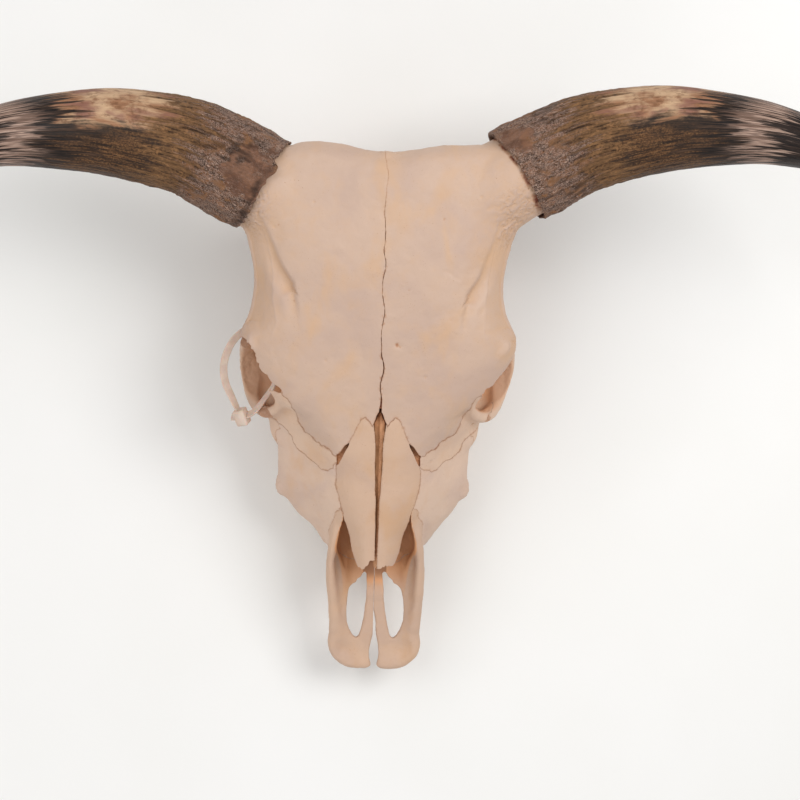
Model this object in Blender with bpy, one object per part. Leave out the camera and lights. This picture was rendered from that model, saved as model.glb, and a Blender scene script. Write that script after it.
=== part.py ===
"""A bull skull without its lower jaw, resting on its back teeth and the two processes beside the nape.

The head is built up from lofted blocks that are fused, hollowed and then parted along the skull's real
sutures, so that every bone is a solid of its own that meets its neighbours at a hairline. Only the right
side is built, and the left is its reflection. X runs across the skull, with the side named right at +X,
Y from the nose (-) to the poll (+), and Z up from the surface that it rests on. Dimensions are
millimetres, and MM turns them into metres.
"""

import math

import bmesh
import bpy
import numpy as np
from mathutils import Matrix, Vector

MM = 0.001

# ---------------------------------------------------------------- driving dimensions, mm
GRAIN = 2.6  # voxel at which the blocks of the head are fused
HALF_HEAD_FACES = 1300  # facets that the fused half is brought down to
SUTURE_GAP = 0.4  # hairline between two bones
SHIFT_Y = -8.0  # moves the whole skull so that its box is centred over the origin
RING_POINTS = 48  # round the forehead, the face and the nape
STATIONS = 40  # along the forehead and round the eye
ROD_SIDES = 16
FAR = 300  # reaches beyond the skull on every side
CORNER_ANGLE = 35  # degrees above which an edge is drawn as a crease
UP = Vector((0, 0, 1))

# Frontal plate: (y, height at the midline, half width, drop of the edge, thickness at the edge)
FOREHEAD = (
    (219, 190, 80, 3, 24),
    (212, 199, 94, 4, 32),
    (195, 205, 108, 8, 38),
    (165, 204, 122, 18, 34),
    (140, 202, 116, 28, 22),
    (122, 199.5, 111.5, 30, 15),
    (106, 197, 109.5, 31, 13),
    (78, 191, 114, 31, 12),
    (57, 186, 123.5, 31, 11),
    (38, 180, 111, 26, 11),
    (17, 173, 97, 20, 12),
    (-2, 166, 84, 16, 12),
    (-20, 160, 62, 12, 10),
    (-34, 155, 44, 9, 8),
)
POLL_DIP = (8, 62)  # depth and half width of the dip in the middle of the poll
POLL_DIP_FROM = (150, 60)  # y where the dip begins, and the length over which it deepens
FOREHEAD_MIDDLE = 34  # thickness at the midline

# Face: (y, roof height, roof edge x, z, cheek x, z, jaw x, z, floor height)
FACE = (
    (26, 165, 38, 158, 40, 120, 46, 66, 56),
    (8, 164, 52, 155, 56, 120, 62, 50, 50),
    (-16, 160, 60, 152, 96, 110, 68, 42, 46),
    (-40, 153, 40, 148, 95, 96, 67, 36, 46),
    (-62, 146, 39, 136, 92, 86, 65, 32, 47),
    (-84, 139, 37, 128, 90, 77, 61, 30, 48),
    (-104, 132, 31, 122, 75, 70, 56, 30, 50),
    (-122, 125, 27, 113, 60, 64, 51, 34, 52),
    (-138, 119, 23, 107, 48, 62, 46, 40, 54),
)

# Braincase: (y, centre height, half width, half height)
BRAINCASE = (
    (20, 118, 38, 44),
    (60, 120, 46, 46),
    (100, 121, 58, 48),
    (140, 121, 66, 50),
    (170, 118, 74, 54),
    (190, 116, 74, 56),
)

# Nape plate outline, right half: (x, z), and the height that it shrinks towards
NAPE_CENTRE = 120
NAPE = (
    (0, 200), (55, 198), (86, 186), (90, 160), (97, 130), (110, 104),
    (108, 84), (88, 72), (60, 56), (26, 44), (0, 42),
)
NAPE_STEPS = ((164, 0.86), (172, 0.97), (182, 1.0), (190, 0.98), (197, 0.88))  # y, scale

# Middle of the bony ring round the eye, and half its thickness outwards and inwards
EYE_RING = (
    (117, 56, 150, 6, 8), (122, 58, 128, 6, 8), (121, 47, 106, 6, 8), (119, 22, 97, 6, 8),
    (111, -4, 101, 6, 8), (97, -16, 118, 6, 7), (86, -8, 139, 5, 6), (91, 12, 152, 4, 5),
    (105, 36, 158, 4, 5),
)

# Hollow of the nose: (y, half width at the roof, half width at the floor, roof height, floor height)
NOSE = (
    (-2, 8, 8, 120, 84),
    (-24, 20, 22, 146, 66),
    (-60, 32, 34, 150, 60),
    (-96, 30, 32, 170, 59),
    (-112, 30, 32, 190, 60),
    (-124, 33, 35, 190, 60),
    (-138, 36, 36, 190, 61),
    (-150, 36, 30, 190, 64),
    (-176, 34, 20, 190, 68),
)

# Rods of bone that the head is built from: name, then (x, y, z, half width, half height) along each
CORE_RADIUS = 38.5
RODS = (
    ("eye_bar", (112, 52, 166, 9, 9), (121, 60, 140, 7, 8), (122, 58, 112, 8, 8)),
    ("eye_floor", (92, -16, 96, 16, 7), (102, 8, 89, 20, 5), (105, 32, 90, 20, 5), (111, 54, 98, 10, 6)),
    ("cheek_arch", (120, 44, 104, 7, 11), (111, 74, 109, 6, 10), (103, 108, 111, 7, 9),
     (98, 138, 106, 10, 12), (84, 158, 104, 14, 18)),
    ("horn_root", (60, 168, 166, 44, 34), (84, 179, 166, 43, 37), (99, 187, 167, 41, 39.5),
     (111, 193.5, 168, CORE_RADIUS, CORE_RADIUS), (131, 204.5, 168, CORE_RADIUS, CORE_RADIUS)),
    ("jugular", (66, 176, 84, 16, 12), (72, 170, 56, 11, 9), (70, 162, 26, 8, 7), (66, 156, -3, 5, 4)),
    ("ear", (56, 140, 84, 14, 14), (78, 146, 84, 12, 11), (98, 150, 88, 10, 9)),
    ("pterygoid", (22, 0, 74, 3.5, 26), (22, 40, 70, 3.5, 34), (25, 84, 78, 4, 22)),
    ("tooth_bed", (44, -140, 44, 8, 12), (52, -100, 42, 11, 14), (57, -50, 38, 13, 16), (56, 2, 38, 12, 16)),
    ("muzzle_side", (34, -104, 104, 5, 12), (38, -126, 97, 5, 10), (40.5, -150, 86, 4.5, 9),
     (39, -180, 73, 6, 7.5), (36.5, -205, 63, 6.5, 6.5), (33, -228, 54, 8, 6)),
    ("muzzle_bar", (5.5, -146, 60, 4.5, 3.5), (5.5, -180, 59, 4.5, 3.5), (7, -210, 55, 5.5, 3.5),
     (11, -232, 50, 7, 5)),
    ("muzzle_floor", (38, -120, 66, 10, 16), (35, -145, 62, 8, 14), (33, -172, 60, 5, 8)),
    ("skull_base", (0, 80, 84, 18, 12), (0, 130, 70, 20, 13), (0, 182, 52, 24, 12)),
    ("palate", (0, -164, 58, 30, 4), (0, -120, 56, 36, 5), (0, -40, 54, 48, 6), (0, 14, 60, 40, 8)),
)
# Egg-shaped swellings: name, centre, half sizes, degrees turned about X, Y and Z
EGGS = (
    ("poll_boss", (0, 214, 192), (10, 6, 8), (0, 0, 0)),
    ("cheek", (93, -20, 100), (18, 28, 15), (0, 20, 0)),
    ("tear_bulla", (72, 10, 84), (22, 30, 14), (0, 0, 0)),
    ("cheek_tuber", (86, -79, 74), (8, 14, 8), (0, 0, 6)),
    ("nape_boss", (0, 195, 150), (13, 8, 20), (0, 0, 0)),
    ("jaw_tuber", (50, 6, 62), (20, 26, 26), (0, 0, 0)),
    ("condyle", (29, 188, 52), (19, 18, 27), (20, 0, -20)),
    ("ear_bulla", (50, 132, 62), (12, 22, 20), (0, 0, 0)),
    ("muzzle_tip", (24, -240, 50), (17, 16, 7), (-6, 0, 10)),
)
EYE_HOLLOW = ("eye_hollow", (96, 20, 128), (54, 31, 26), (0, -20, -20))
# Passages through the bone, given as the rods are
PASSAGES = (
    ("throat", (0, -14, 74, 16, 12), (0, 20, 78, 18, 15), (0, 60, 74, 19, 17), (0, 90, 60, 19, 14)),
    ("spinal_hole", (0, 130, 72, 14, 13), (0, 165, 70, 17, 16), (0, 215, 62, 19, 18)),
    ("brow_hole", (77, 92, 200, 2.6, 4), (76, 98, 186, 2.4, 3), (75, 104, 172, 2, 2)),
    ("cheek_hole", (68, -114, 60, 4, 5), (56, -106, 63, 4, 4), (46, -96, 66, 3, 3)),
)

# Nasal bone, outer half: (y, inner edge x, outer edge x, height of its crown, drop of the outer edge)
NASAL = (
    (-18, 12, 15, 161, 1),
    (-26, 6, 19, 159, 3),
    (-38, 3.5, 25, 155, 6),
    (-47, 3.2, 31, 152, 11),
    (-60, 3, 37, 147, 16),
    (-76, 2.2, 37, 141, 18),
    (-92, 1.6, 33.5, 136, 17),
    (-106, 1.2, 29.5, 131, 16),
    (-125, 0.9, 25, 124, 14),
    (-140, 0.8, 21, 118, 12),
    (-150, 1.5, 16, 114.5, 8),
    (-155, 4, 12, 113, 4),
)
NASAL_THICKNESS = 4.2
NASAL_FOLD = 0.4  # share of its width at which the nasal bone turns down

TOOTH_SIDES = 10
# Cheek teeth: (name, front y, back y, middle x, width, height of the worn face)
TEETH = (
    ("P2", -138, -123, 41, 12, 12),
    ("P3", -122, -104, 45, 15, 8.5),
    ("P4", -103, -85, 49, 17, 5),
    ("M1", -84, -61, 53, 21, 2),
    ("M2", -60, -34, 55.5, 23, 0),
    ("M3", -33, -4, 56, 23, 0),
)

# Middle line of the horn: (x, y, z, radius)
HORN = (
    (112, 194, 168, 43.5),
    (144, 212, 168, 42),
    (178, 226, 172, 40),
    (239, 235, 190, 36.5),
    (283, 233, 210, 31.5),
    (319, 227, 232, 27),
    (346, 218, 252, 22.5),
    (388, 196, 296, 15.5),
    (416, 170, 344, 8.5),
    (428, 146, 388, 1.8),
)
HORN_STATIONS = 16
HORN_MOUTH = 26  # depth of the sheath over the bony core
HORN_CLEARANCE = 1.2
LEFT_DROOP = 14  # how much further forward the left tip lies than the right

# Cable tie through the other eye: (x, y, z) and the direction of its width, from its root round to its tail
TIE = (
    ((123.4, -9.4, 113.9), (0, -0.4, 0.9)),
    ((134.5, 5, 121), (0.35, -0.2, 0.85)),
    ((141, 31, 130), (0.6, 0, 0.75)),
    ((136, 58, 137), (0.5, 0.2, 0.8)),
    ((124, 74, 140), (0, 0.3, 0.95)),
    ((108, 68, 138), (-0.3, 0.2, 0.9)),
    ((97, 45, 132), (-0.3, 0, 0.95)),
    ((98, 18, 124), (-0.2, -0.2, 0.95)),
    ((109, -3, 117), (0, -0.4, 0.9)),
    ((121.5, -11.5, 113), (0, -0.4, 0.9)),
    ((131, -18, 110), (0, -0.4, 0.9)),
)
TIE_STRAP = (5.6, 1.5)
TIE_HEAD = (6.5, 9, 8.6)
TIE_CLEARANCE = 0.35

# Opening between the bones that the nasals fill, and the sutures, seen from above: (x, y)
NASAL_PLAN = (
    (-1, -10), (1.2, -14), (3, -20), (6, -24.5), (9.5, -20), (13.5, -16), (17, -18), (19.7, -23.3),
    (24.7, -34), (27, -39), (33, -45), (38, -50.5), (37.5, -57), (38.3, -64), (38.3, -77), (34.8, -92),
    (31, -104), (30, -112), (33, -124), (36, -138), (36, -180), (-1, -180),
)
FRONTAL_PLAN = (
    (0.2, 250), (170, 250), (170, 10), (108, 8), (88, 4.5), (79, -9), (73.8, -18.5), (67.5, -31), (60, -35.4),
    (53.8, -40.3), (47.5, -44.8), (42, -50), (38, -50.5), (33, -45), (27, -39), (24.7, -34), (19.7, -23.3),
    (17, -18), (13.5, -16), (9.5, -20), (6, -24.5), (3, -20), (1.2, -14), (0.2, -10),
)
LACRIMAL_PLAN = (
    (104, 10), (88, 12), (40, -20), (30, -42), (36, -52), (37, -57), (41, -63), (48.6, -65), (54.9, -61),
    (65, -53.8), (76, -43), (82, -33), (91.4, -24), (99, -17), (112, -12), (116, 4),
)
# Sutures seen from the side: (y, z)
FRONTAL_SIDE_INNER = (
    (-80, 118), (0, 118), (60, 122), (100, 140), (150, 150), (188, 158), (200, 176), (250, 182),
    (250, 280), (-80, 280),
)
FRONTAL_SIDE_OUTER = (
    (-80, 118), (0, 118), (56, 124), (100, 126), (150, 128), (172, 122), (205, 118), (250, 118),
    (250, 280), (-80, 280),
)
ZYGOMATIC_SIDE = (
    (-8, 119), (-26, 113), (-40, 101), (-47, 90), (-40, 81), (-20, 77), (10, 76), (40, 84),
    (66, 94), (84, 98), (100, 112), (90, 121), (70, 126), (50, 128), (20, 130), (2, 128),
)
PREMAXILLA_SIDE = (
    (-100, 118), (-106, 106), (-118, 94), (-130, 80), (-143, 68), (-156, 58), (-164, 46), (-168, 30),
    (-290, 30), (-290, 130), (-100, 130),
)
PALATINE_SIDE = ((-22, 30), (-16, 84), (10, 88), (36, 86), (40, 30))
MAXILLA_SIDE = ((-300, -20), (-300, 200), (4, 200), (6, 130), (14, 104), (26, 96), (46, 72), (50, -20))


# ---------------------------------------------------------------- helpers
def spline(knots, values, at):
    """A smooth curve through values at knots, read at each of at."""
    order = np.argsort(knots)
    knots, values = np.asarray(knots, float)[order], np.asarray(values, float)[order]
    at = np.clip(np.asarray(at, float), knots[0], knots[-1])
    slope = np.gradient(values, knots, axis=0)
    i = np.clip(np.searchsorted(knots, at) - 1, 0, len(knots) - 2)
    step = knots[i + 1] - knots[i]
    t = (at - knots[i]) / step
    if values.ndim > 1:
        step, t = step[:, None], t[:, None]
    return (
        (1 + 2 * t) * (1 - t) ** 2 * values[i]
        + t * (1 - t) ** 2 * step * slope[i]
        + t * t * (3 - 2 * t) * values[i + 1]
        - t * t * (1 - t) * step * slope[i + 1]
    )


def through(points, count, closed=False):
    """count points on a smooth curve through the given ones."""
    p = np.asarray(points, float)
    if closed:
        p = np.vstack([p[-2:], p, p[:3]])
    along = np.concatenate([[0], np.cumsum(np.sqrt(np.linalg.norm(np.diff(p, axis=0), axis=1)))])
    start, end = (along[2], along[-3]) if closed else (along[0], along[-1])
    return spline(along, p, np.linspace(start, end, count, endpoint=not closed))


def circle(count, lift=0.0):
    turn = 2 * math.pi * (np.arange(count) + lift) / count
    return np.cos(turn), np.sin(turn)


def solid(name, rings, closed=False, laddered=False):
    """One body through rings of equal point counts, its ends joined to each other, or filled.

    A laddered end is filled with rungs between the ring's two sides, which keeps a bent end bent.
    """
    bm = bmesh.new()
    loops = [[bm.verts.new(Vector(p) * MM) for p in ring] for ring in rings]
    for a, b in zip(loops, loops[1:] + (loops[:1] if closed else [])):
        for k in range(len(a)):
            n = (k + 1) % len(a)
            bm.faces.new((a[k], a[n], b[n], b[k]))
    for end in [] if closed else (loops[0], loops[-1]):
        if laddered:
            for k in range(len(end) // 2 - 1):
                bm.faces.new((end[k], end[k + 1], end[-k - 2], end[-k - 1]))
        else:
            bm.faces.new(end)
    bmesh.ops.recalc_face_normals(bm, faces=bm.faces)
    mesh = bpy.data.meshes.new(name)
    bm.to_mesh(mesh)
    bm.free()
    obj = bpy.data.objects.new(name, mesh)
    bpy.context.scene.collection.objects.link(obj)
    return obj


def sweep(name, line, sizes, sides=ROD_SIDES):
    """A rod of oval section along the points of line. sizes gives its half width and half height at each."""
    cos, sin = circle(sides)
    rings = []
    for k, centre in enumerate(line):
        along = Vector(line[min(k + 1, len(line) - 1)] - line[max(k - 1, 0)]).normalized()
        side = along.cross(UP).normalized()
        high = side.cross(along)
        wide, tall = side * sizes[k][0], high * sizes[k][1]
        rings.append([Vector(centre) + wide * c + tall * s for c, s in zip(cos, sin)])
    return solid(name, rings)


def rod(name, rows, steps=24, sides=ROD_SIDES):
    """A rod through rows of (x, y, z, half width, half height)."""
    smooth = through(rows, steps)
    return sweep(name, smooth[:, :3], smooth[:, 3:], sides)


def egg(name, centre, radii, turn):
    """An egg shape, turned by degrees about X, Y and Z."""
    x, y, z = (math.radians(a) for a in turn)
    spin = Matrix.Rotation(z, 3, "Z") @ Matrix.Rotation(y, 3, "Y") @ Matrix.Rotation(x, 3, "X")
    bm = bmesh.new()
    bmesh.ops.create_uvsphere(bm, u_segments=24, v_segments=ROD_SIDES, radius=1)
    bm.transform(Matrix.LocRotScale(Vector(centre) * MM, spin, Vector(radii) * MM))
    mesh = bpy.data.meshes.new(name)
    bm.to_mesh(mesh)
    bm.free()
    obj = bpy.data.objects.new(name, mesh)
    bpy.context.scene.collection.objects.link(obj)
    return obj


def prism(name, outline, axis, low, high):
    """A flat outline drawn out along X or Z. The outline's pairs are the other two axes in order."""
    if axis == "X":
        return solid(name, [[(d, a, b) for a, b in outline] for d in (low, high)])
    return solid(name, [[(a, b, d) for a, b in outline] for d in (low, high)])


def slab(name, low, high):
    """All of the space between two values of x."""
    return prism(name, [(-FAR, -FAR), (FAR, -FAR), (FAR, FAR), (-FAR, FAR)], "X", low, high)


def settle(obj):
    """Bakes the modifiers of obj into its mesh."""
    graph = bpy.context.evaluated_depsgraph_get()
    mesh = bpy.data.meshes.new_from_object(obj.evaluated_get(graph))
    obj.modifiers.clear()
    obj.data = mesh


def combine(obj, other, how, solver="EXACT"):
    """A Boolean that uses up the other object. A parting that the exact solver leaves open names another."""
    step = obj.modifiers.new(how, "BOOLEAN")
    step.operation = how
    step.solver = solver
    step.object = other
    settle(obj)
    bpy.data.objects.remove(other)
    return obj


def copy(obj, name):
    twin = bpy.data.objects.new(name, obj.data.copy())
    bpy.context.scene.collection.objects.link(twin)
    return twin


def merged(objects, name):
    """One object that holds the surfaces of many."""
    bm = bmesh.new()
    for obj in objects:
        bm.from_mesh(obj.data)
        bpy.data.objects.remove(obj)
    mesh = bpy.data.meshes.new(name)
    bm.to_mesh(mesh)
    bm.free()
    obj = bpy.data.objects.new(name, mesh)
    bpy.context.scene.collection.objects.link(obj)
    return obj


def widened(outline, by):
    """The outline moved outwards, corner by corner."""
    p = np.asarray(outline, float)
    before, after = p - np.roll(p, 1, axis=0), np.roll(p, -1, axis=0) - p
    area = 0.5 * np.sum(p[:, 0] * np.roll(p[:, 1], -1) - np.roll(p[:, 0], -1) * p[:, 1])
    turn = 1 if area > 0 else -1
    n1 = np.stack([before[:, 1], -before[:, 0]], axis=1) / np.linalg.norm(before, axis=1)[:, None]
    n2 = np.stack([after[:, 1], -after[:, 0]], axis=1) / np.linalg.norm(after, axis=1)[:, None]
    corner = (n1 + n2) / np.maximum(1 + np.sum(n1 * n2, axis=1), 0.35)[:, None]
    return p + turn * by * corner


def largest(obj):
    """Leaves only the largest body of obj."""
    bm = bmesh.new()
    bm.from_mesh(obj.data)
    bm.verts.ensure_lookup_table()
    seen, groups = set(), []
    for start in bm.verts:
        if start in seen:
            continue
        seen.add(start)
        group, stack = [], [start]
        while stack:
            v = stack.pop()
            group.append(v)
            for edge in v.link_edges:
                other = edge.other_vert(v)
                if other not in seen:
                    seen.add(other)
                    stack.append(other)
        groups.append(group)
    groups.sort(key=len)
    for group in groups[:-1]:
        bmesh.ops.delete(bm, geom=group, context="VERTS")
    bmesh.ops.triangulate(bm, faces=bm.faces)
    bm.to_mesh(obj.data)
    bm.free()
    return obj


# ---------------------------------------------------------------- blocks of the right side
def forehead():
    table = np.array(FOREHEAD, float)
    share = np.linspace(-1, 1, RING_POINTS // 2)
    deep, wide_dip = POLL_DIP
    dip_start, dip_run = POLL_DIP_FROM
    rings = []
    for y in np.linspace(table[-1, 0], table[0, 0], STATIONS):
        top, wide, drop, edge = spline(table[:, 0], table[:, 1:], [y])[0]
        upper = top - drop * (0.25 * share**2 + 0.75 * share**6)
        lower = upper - edge - (FOREHEAD_MIDDLE - edge) * (1 - share**2)
        x = wide * share
        away = np.sin(np.pi / 2 * np.clip(np.abs(x) / wide_dip, 0, 1)) ** 2
        back = y + deep * away * np.clip((y - dip_start) / dip_run, 0, 1)
        rings.append(list(zip(x, back, upper)) + list(zip(x[::-1], back[::-1], lower[::-1])))
    return solid("forehead", rings, laddered=True)


def face():
    table = np.array(FACE, float)
    rings = []
    for y in np.linspace(table[-1, 0], table[0, 0], STATIONS):
        top, rx, rz, cx, cz, jx, jz, floor = spline(table[:, 0], table[:, 1:], [y])[0]
        half = [
            (0.55 * rx, top - 0.25 * (top - rz)),
            (rx, rz),
            ((rx + cx) / 2, (rz + cz) / 2 + 3),
            (cx, cz),
            ((cx + jx) / 2 + 3, (cz + jz) / 2),
            (jx, jz),
            (0.8 * jx, floor - 6),
            (0.5 * jx, floor),
        ]
        outline = [(0, top)] + half + [(0, floor)] + [(-x, z) for x, z in half[::-1]]
        rings.append([(x, y, z) for x, z in through(outline, RING_POINTS, closed=True)])
    return solid("face", rings)


def braincase():
    table = np.array(BRAINCASE, float)
    cos, sin = circle(RING_POINTS)
    rings = []
    for y in np.linspace(table[0, 0], table[-1, 0], 20):
        centre, wide, high = spline(table[:, 0], table[:, 1:], [y])[0]
        x = wide * np.sign(cos) * np.abs(cos) ** 0.85
        z = centre + high * np.sign(sin) * np.abs(sin) ** 0.85
        rings.append([(a, y, b) for a, b in zip(x, z)])
    return solid("braincase", rings)


def nape():
    outline = list(NAPE) + [(-x, z) for x, z in NAPE[-2:0:-1]]
    ring = through(outline, RING_POINTS, closed=True)
    rings = [[(x * k, y, NAPE_CENTRE + (z - NAPE_CENTRE) * k) for x, z in ring] for y, k in NAPE_STEPS]
    return solid("nape", rings)


def eye_ring():
    ring = through(EYE_RING, STATIONS, closed=True)
    line = ring[:, :3]
    middle = Vector(line.mean(axis=0))
    cos, sin = circle(ROD_SIDES)
    rings = []
    for k, p in enumerate(line):
        along = Vector(line[(k + 1) % STATIONS] - line[k - 1]).normalized()
        out = Vector(p) - middle
        out = (out - along * out.dot(along)).normalized()
        deep = along.cross(out)
        wide, thick = ring[k, 3:]
        rings.append([Vector(p) + out * wide * c + deep * thick * s for c, s in zip(cos, sin)])
    return solid("eye_ring", rings, closed=True)


def head_blocks():
    blocks = [forehead(), face(), braincase(), nape(), eye_ring()]
    blocks += [rod(name, rows) for name, *rows in RODS]
    return blocks + [egg(*row) for row in EGGS]


def nose_hollow():
    table = np.array(NOSE, float)
    rings = []
    for y in np.linspace(table[-1, 0], table[0, 0], 24):
        wide_top, wide_floor, roof, floor = spline(table[:, 0], table[:, 1:], [y])[0]
        half = [(wide_floor * 0.6, floor), (wide_floor * 0.95, floor + 5), (wide_floor, floor + 14),
                (wide_top, roof - 16), (wide_top * 0.9, roof - 3), (wide_top * 0.5, roof)]
        outline = [(0, floor)] + half + [(0, roof)] + [(-x, z) for x, z in half[::-1]]
        rings.append([(x, y, z) for x, z in outline])
    return solid("nose_hollow", rings)


def half_head():
    """The right half of the head, fused, hollowed and closed at the middle plane."""
    head = merged(head_blocks(), "head")
    fuse = head.modifiers.new("fuse", "REMESH")
    fuse.mode = "VOXEL"
    fuse.voxel_size = GRAIN * MM
    soften = head.modifiers.new("soften", "SMOOTH")
    soften.iterations = 6
    settle(head)
    hollows = [nose_hollow(), prism("nasal_seat", NASAL_PLAN, "Z", 104, FAR), egg(*EYE_HOLLOW)]
    hollows += [rod(name, rows, 12, 10) for name, *rows in PASSAGES]
    for hollow in hollows + [slab("beyond", -FAR, -6)]:
        combine(head, hollow, "DIFFERENCE")
    thin = head.modifiers.new("thin", "DECIMATE")
    thin.ratio = HALF_HEAD_FACES / len(head.data.polygons) / 2
    settle(head)
    return combine(head, slab("right", 0, FAR), "INTERSECT")


# ---------------------------------------------------------------- parting along the sutures
def wavy(outline, amount, step=11.0):
    """The outline broken into short runs that swing from side to side, as a suture does."""
    p = np.asarray(outline, float)
    points, k = [], 0
    for a, b in zip(p, np.roll(p, -1, axis=0)):
        run = b - a
        length = np.linalg.norm(run)
        count = max(1, int(round(length / step))) if length < 60 else 1
        across = np.array([-run[1], run[0]]) / length
        for j in range(count):
            swing = amount * math.sin(2.4 * k) * (j > 0)
            points.append(a + run * j / count + across * swing)
            k += 1
    return np.array(points)


def frontal_cutter(by):
    plan = prism("plan", widened(wavy(FRONTAL_PLAN, 1.0), by), "Z", -50, 290)
    inner, outer = widened(FRONTAL_SIDE_INNER, by), widened(FRONTAL_SIDE_OUTER, by)
    steps = ((-2, inner), (62, inner), (84, outer), (200, outer))
    return combine(plan, solid("side", [[(x, y, z) for y, z in line] for x, line in steps]), "INTERSECT")


def plan_cutter(outline, low, high):
    return lambda by: prism("plan", widened(wavy(outline, 0.9), by), "Z", low - by, high + by)


def side_cutter(outline, low, high):
    return lambda by: prism("side", widened(wavy(outline, 0.9), by), "X", low - by, high + by)


BONES = (
    ("frontal", frontal_cutter),
    ("lacrimal", plan_cutter(LACRIMAL_PLAN, 104, 290)),
    ("zygomatic", side_cutter(ZYGOMATIC_SIDE, 72, 200)),
    ("premaxilla", side_cutter(PREMAXILLA_SIDE, 0.2, 200)),
    ("palatine", side_cutter(PALATINE_SIDE, 0.2, 42)),
    ("maxilla", side_cutter(MAXILLA_SIDE, 0.2, 200)),
)


def part_bones(rest):
    """Takes each bone in turn out of the half head. What is left over is half the cranium."""
    bones = {}
    for name, cutter in BONES:
        bones[name] = largest(combine(copy(rest, name), cutter(0), "INTERSECT", "MANIFOLD"))
        rest = largest(combine(rest, cutter(SUTURE_GAP), "DIFFERENCE", "MANIFOLD"))
    return bones, rest


def reflect(obj):
    """Turns a piece of the right side into one of the left."""
    obj.data.transform(Matrix.Scale(-1, 4, (1, 0, 0)))
    obj.data.flip_normals()
    return obj


def whole(half, name):
    """A middle bone from its right half."""
    bm = bmesh.new()
    bm.from_mesh(half.data)
    flat = [f for f in bm.faces if all(abs(v.co.x) < 1e-6 for v in f.verts)]
    bmesh.ops.delete(bm, geom=flat, context="FACES")
    bm.to_mesh(half.data)
    bm.free()
    half.modifiers.new("reflect", "MIRROR").merge_threshold = 0.00005
    settle(half)
    half.name = name
    return half


# ---------------------------------------------------------------- pieces that grow by themselves
def nasal(name):
    table = np.array(NASAL, float)
    t = np.linspace(0, 1, 6)
    rings = []
    for y in np.linspace(table[-1, 0], table[0, 0], 15):
        inner, outer, crown, drop = spline(table[:, 0], table[:, 1:], [y])[0]
        x = inner + (outer - inner) * t
        inward = np.clip(1 - t / NASAL_FOLD, 0, 1)
        outward = np.clip((t - NASAL_FOLD) / (1 - NASAL_FOLD), 0, 1)
        z = crown - 1.8 * inward**2 - drop * outward**1.7
        down = np.stack([np.gradient(z), -np.gradient(x)], axis=1)
        down /= np.linalg.norm(down, axis=1)[:, None]
        thick = min(NASAL_THICKNESS, 0.4 * (outer - inner))
        under = np.stack([x, z], axis=1) + down * thick
        under[:, 0] = np.clip(under[:, 0], inner, outer)
        rings.append([(a, y, b) for a, b in zip(x, z)] + [(a, y, b) for a, b in under[::-1]])
    return solid(name, rings)


def tooth(name, front, back, middle, width, worn):
    """One cheek tooth, its worn face level."""
    cos, sin = circle(TOOTH_SIDES, 0.5)
    a, b = np.sign(cos) * np.abs(cos) ** 0.55, np.sign(sin) * np.abs(sin) ** 0.55
    waist = 1 - (0.2 if name[0] == "M" else 0.04) * np.exp(-((b / 0.3) ** 2))
    rings = []
    for z, size in ((46, 0.8), (worn + 3, 1.0), (worn, 0.95)):
        x = middle + 0.08 * (z - worn) * -1 + width / 2 * a * waist * size
        y = (front + back) / 2 + (back - front) / 2 * b * (size if z > worn else 0.97)
        rings.append([(p, q, z) for p, q in zip(x, y)])
    return solid(name, rings)


def horn_sheath(name, droop=0.0):
    """The sheath of the right horn. droop lowers its sweep towards the poll, in mm at the tip."""
    table = np.array(HORN, float)
    line = through(table[:, :3], HORN_STATIONS)
    line[:, 1] -= droop * np.linspace(0, 1, len(line)) ** 1.3
    along = np.concatenate([[0], np.cumsum(np.linalg.norm(np.diff(line, axis=0), axis=1))])
    knots = np.concatenate([[0], np.cumsum(np.linalg.norm(np.diff(table[:, :3], axis=0), axis=1))])
    radius = spline(knots, table[:, 3], along)
    sheath = sweep(name, line, np.stack([radius, radius], axis=1))
    start, aim = Vector(line[0]), Vector(line[1] - line[0]).normalized()
    reach = [start - aim * 4, start + aim * HORN_MOUTH]
    bore = sweep("bore", np.array(reach), [[CORE_RADIUS + HORN_CLEARANCE] * 2] * 2)
    return combine(sheath, bore, "DIFFERENCE")


def cable_tie(name):
    """A strap moulded onto its head, led round and out through the slot in the head."""
    count = 28
    points = [Vector(p) for p in through([p for p, _ in TIE], count)]
    wide = spline(np.linspace(0, 1, len(TIE)), [w for _, w in TIE], np.linspace(0, 1, count))

    def strap(label, first, last, size):
        rings = []
        for k in range(first, last):
            along = (points[min(k + 1, count - 1)] - points[max(k - 1, 0)]).normalized()
            across = Vector(wide[k])
            across = (across - along * across.dot(along)).normalized() * size[0] / 2
            deep = along.cross(across).normalized() * size[1] / 2
            rings.append([points[k] + across * a + deep * b for a, b in ((1, 1), (1, -1), (-1, -1), (-1, 1))])
        return solid(label, rings)

    out = (points[-1] - points[-4]).normalized()
    root = points[1] - points[0]
    root = (root - out * root.dot(out)).normalized()
    middle = Vector(TIE[-2][0])
    corners = [(-1, -1), (1, -1), (1, 1), (-1, 1)]
    thick, long, high = (d / 2 for d in TIE_HEAD)
    rings = [[middle + out * thick * e + root * long * a + out.cross(root) * high * b for a, b in corners]
             for e in (-1, 1)]
    head = solid("tie_head", rings)
    slot = (TIE_STRAP[0] + 2 * TIE_CLEARANCE, TIE_STRAP[1] + 2 * TIE_CLEARANCE)
    combine(head, strap("slot", count - 6, count, slot), "DIFFERENCE")
    tie = combine(strap(name, 0, count - 7, TIE_STRAP), head, "UNION")
    return combine(tie, strap("tail", count - 8, count, TIE_STRAP), "UNION")


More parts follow.
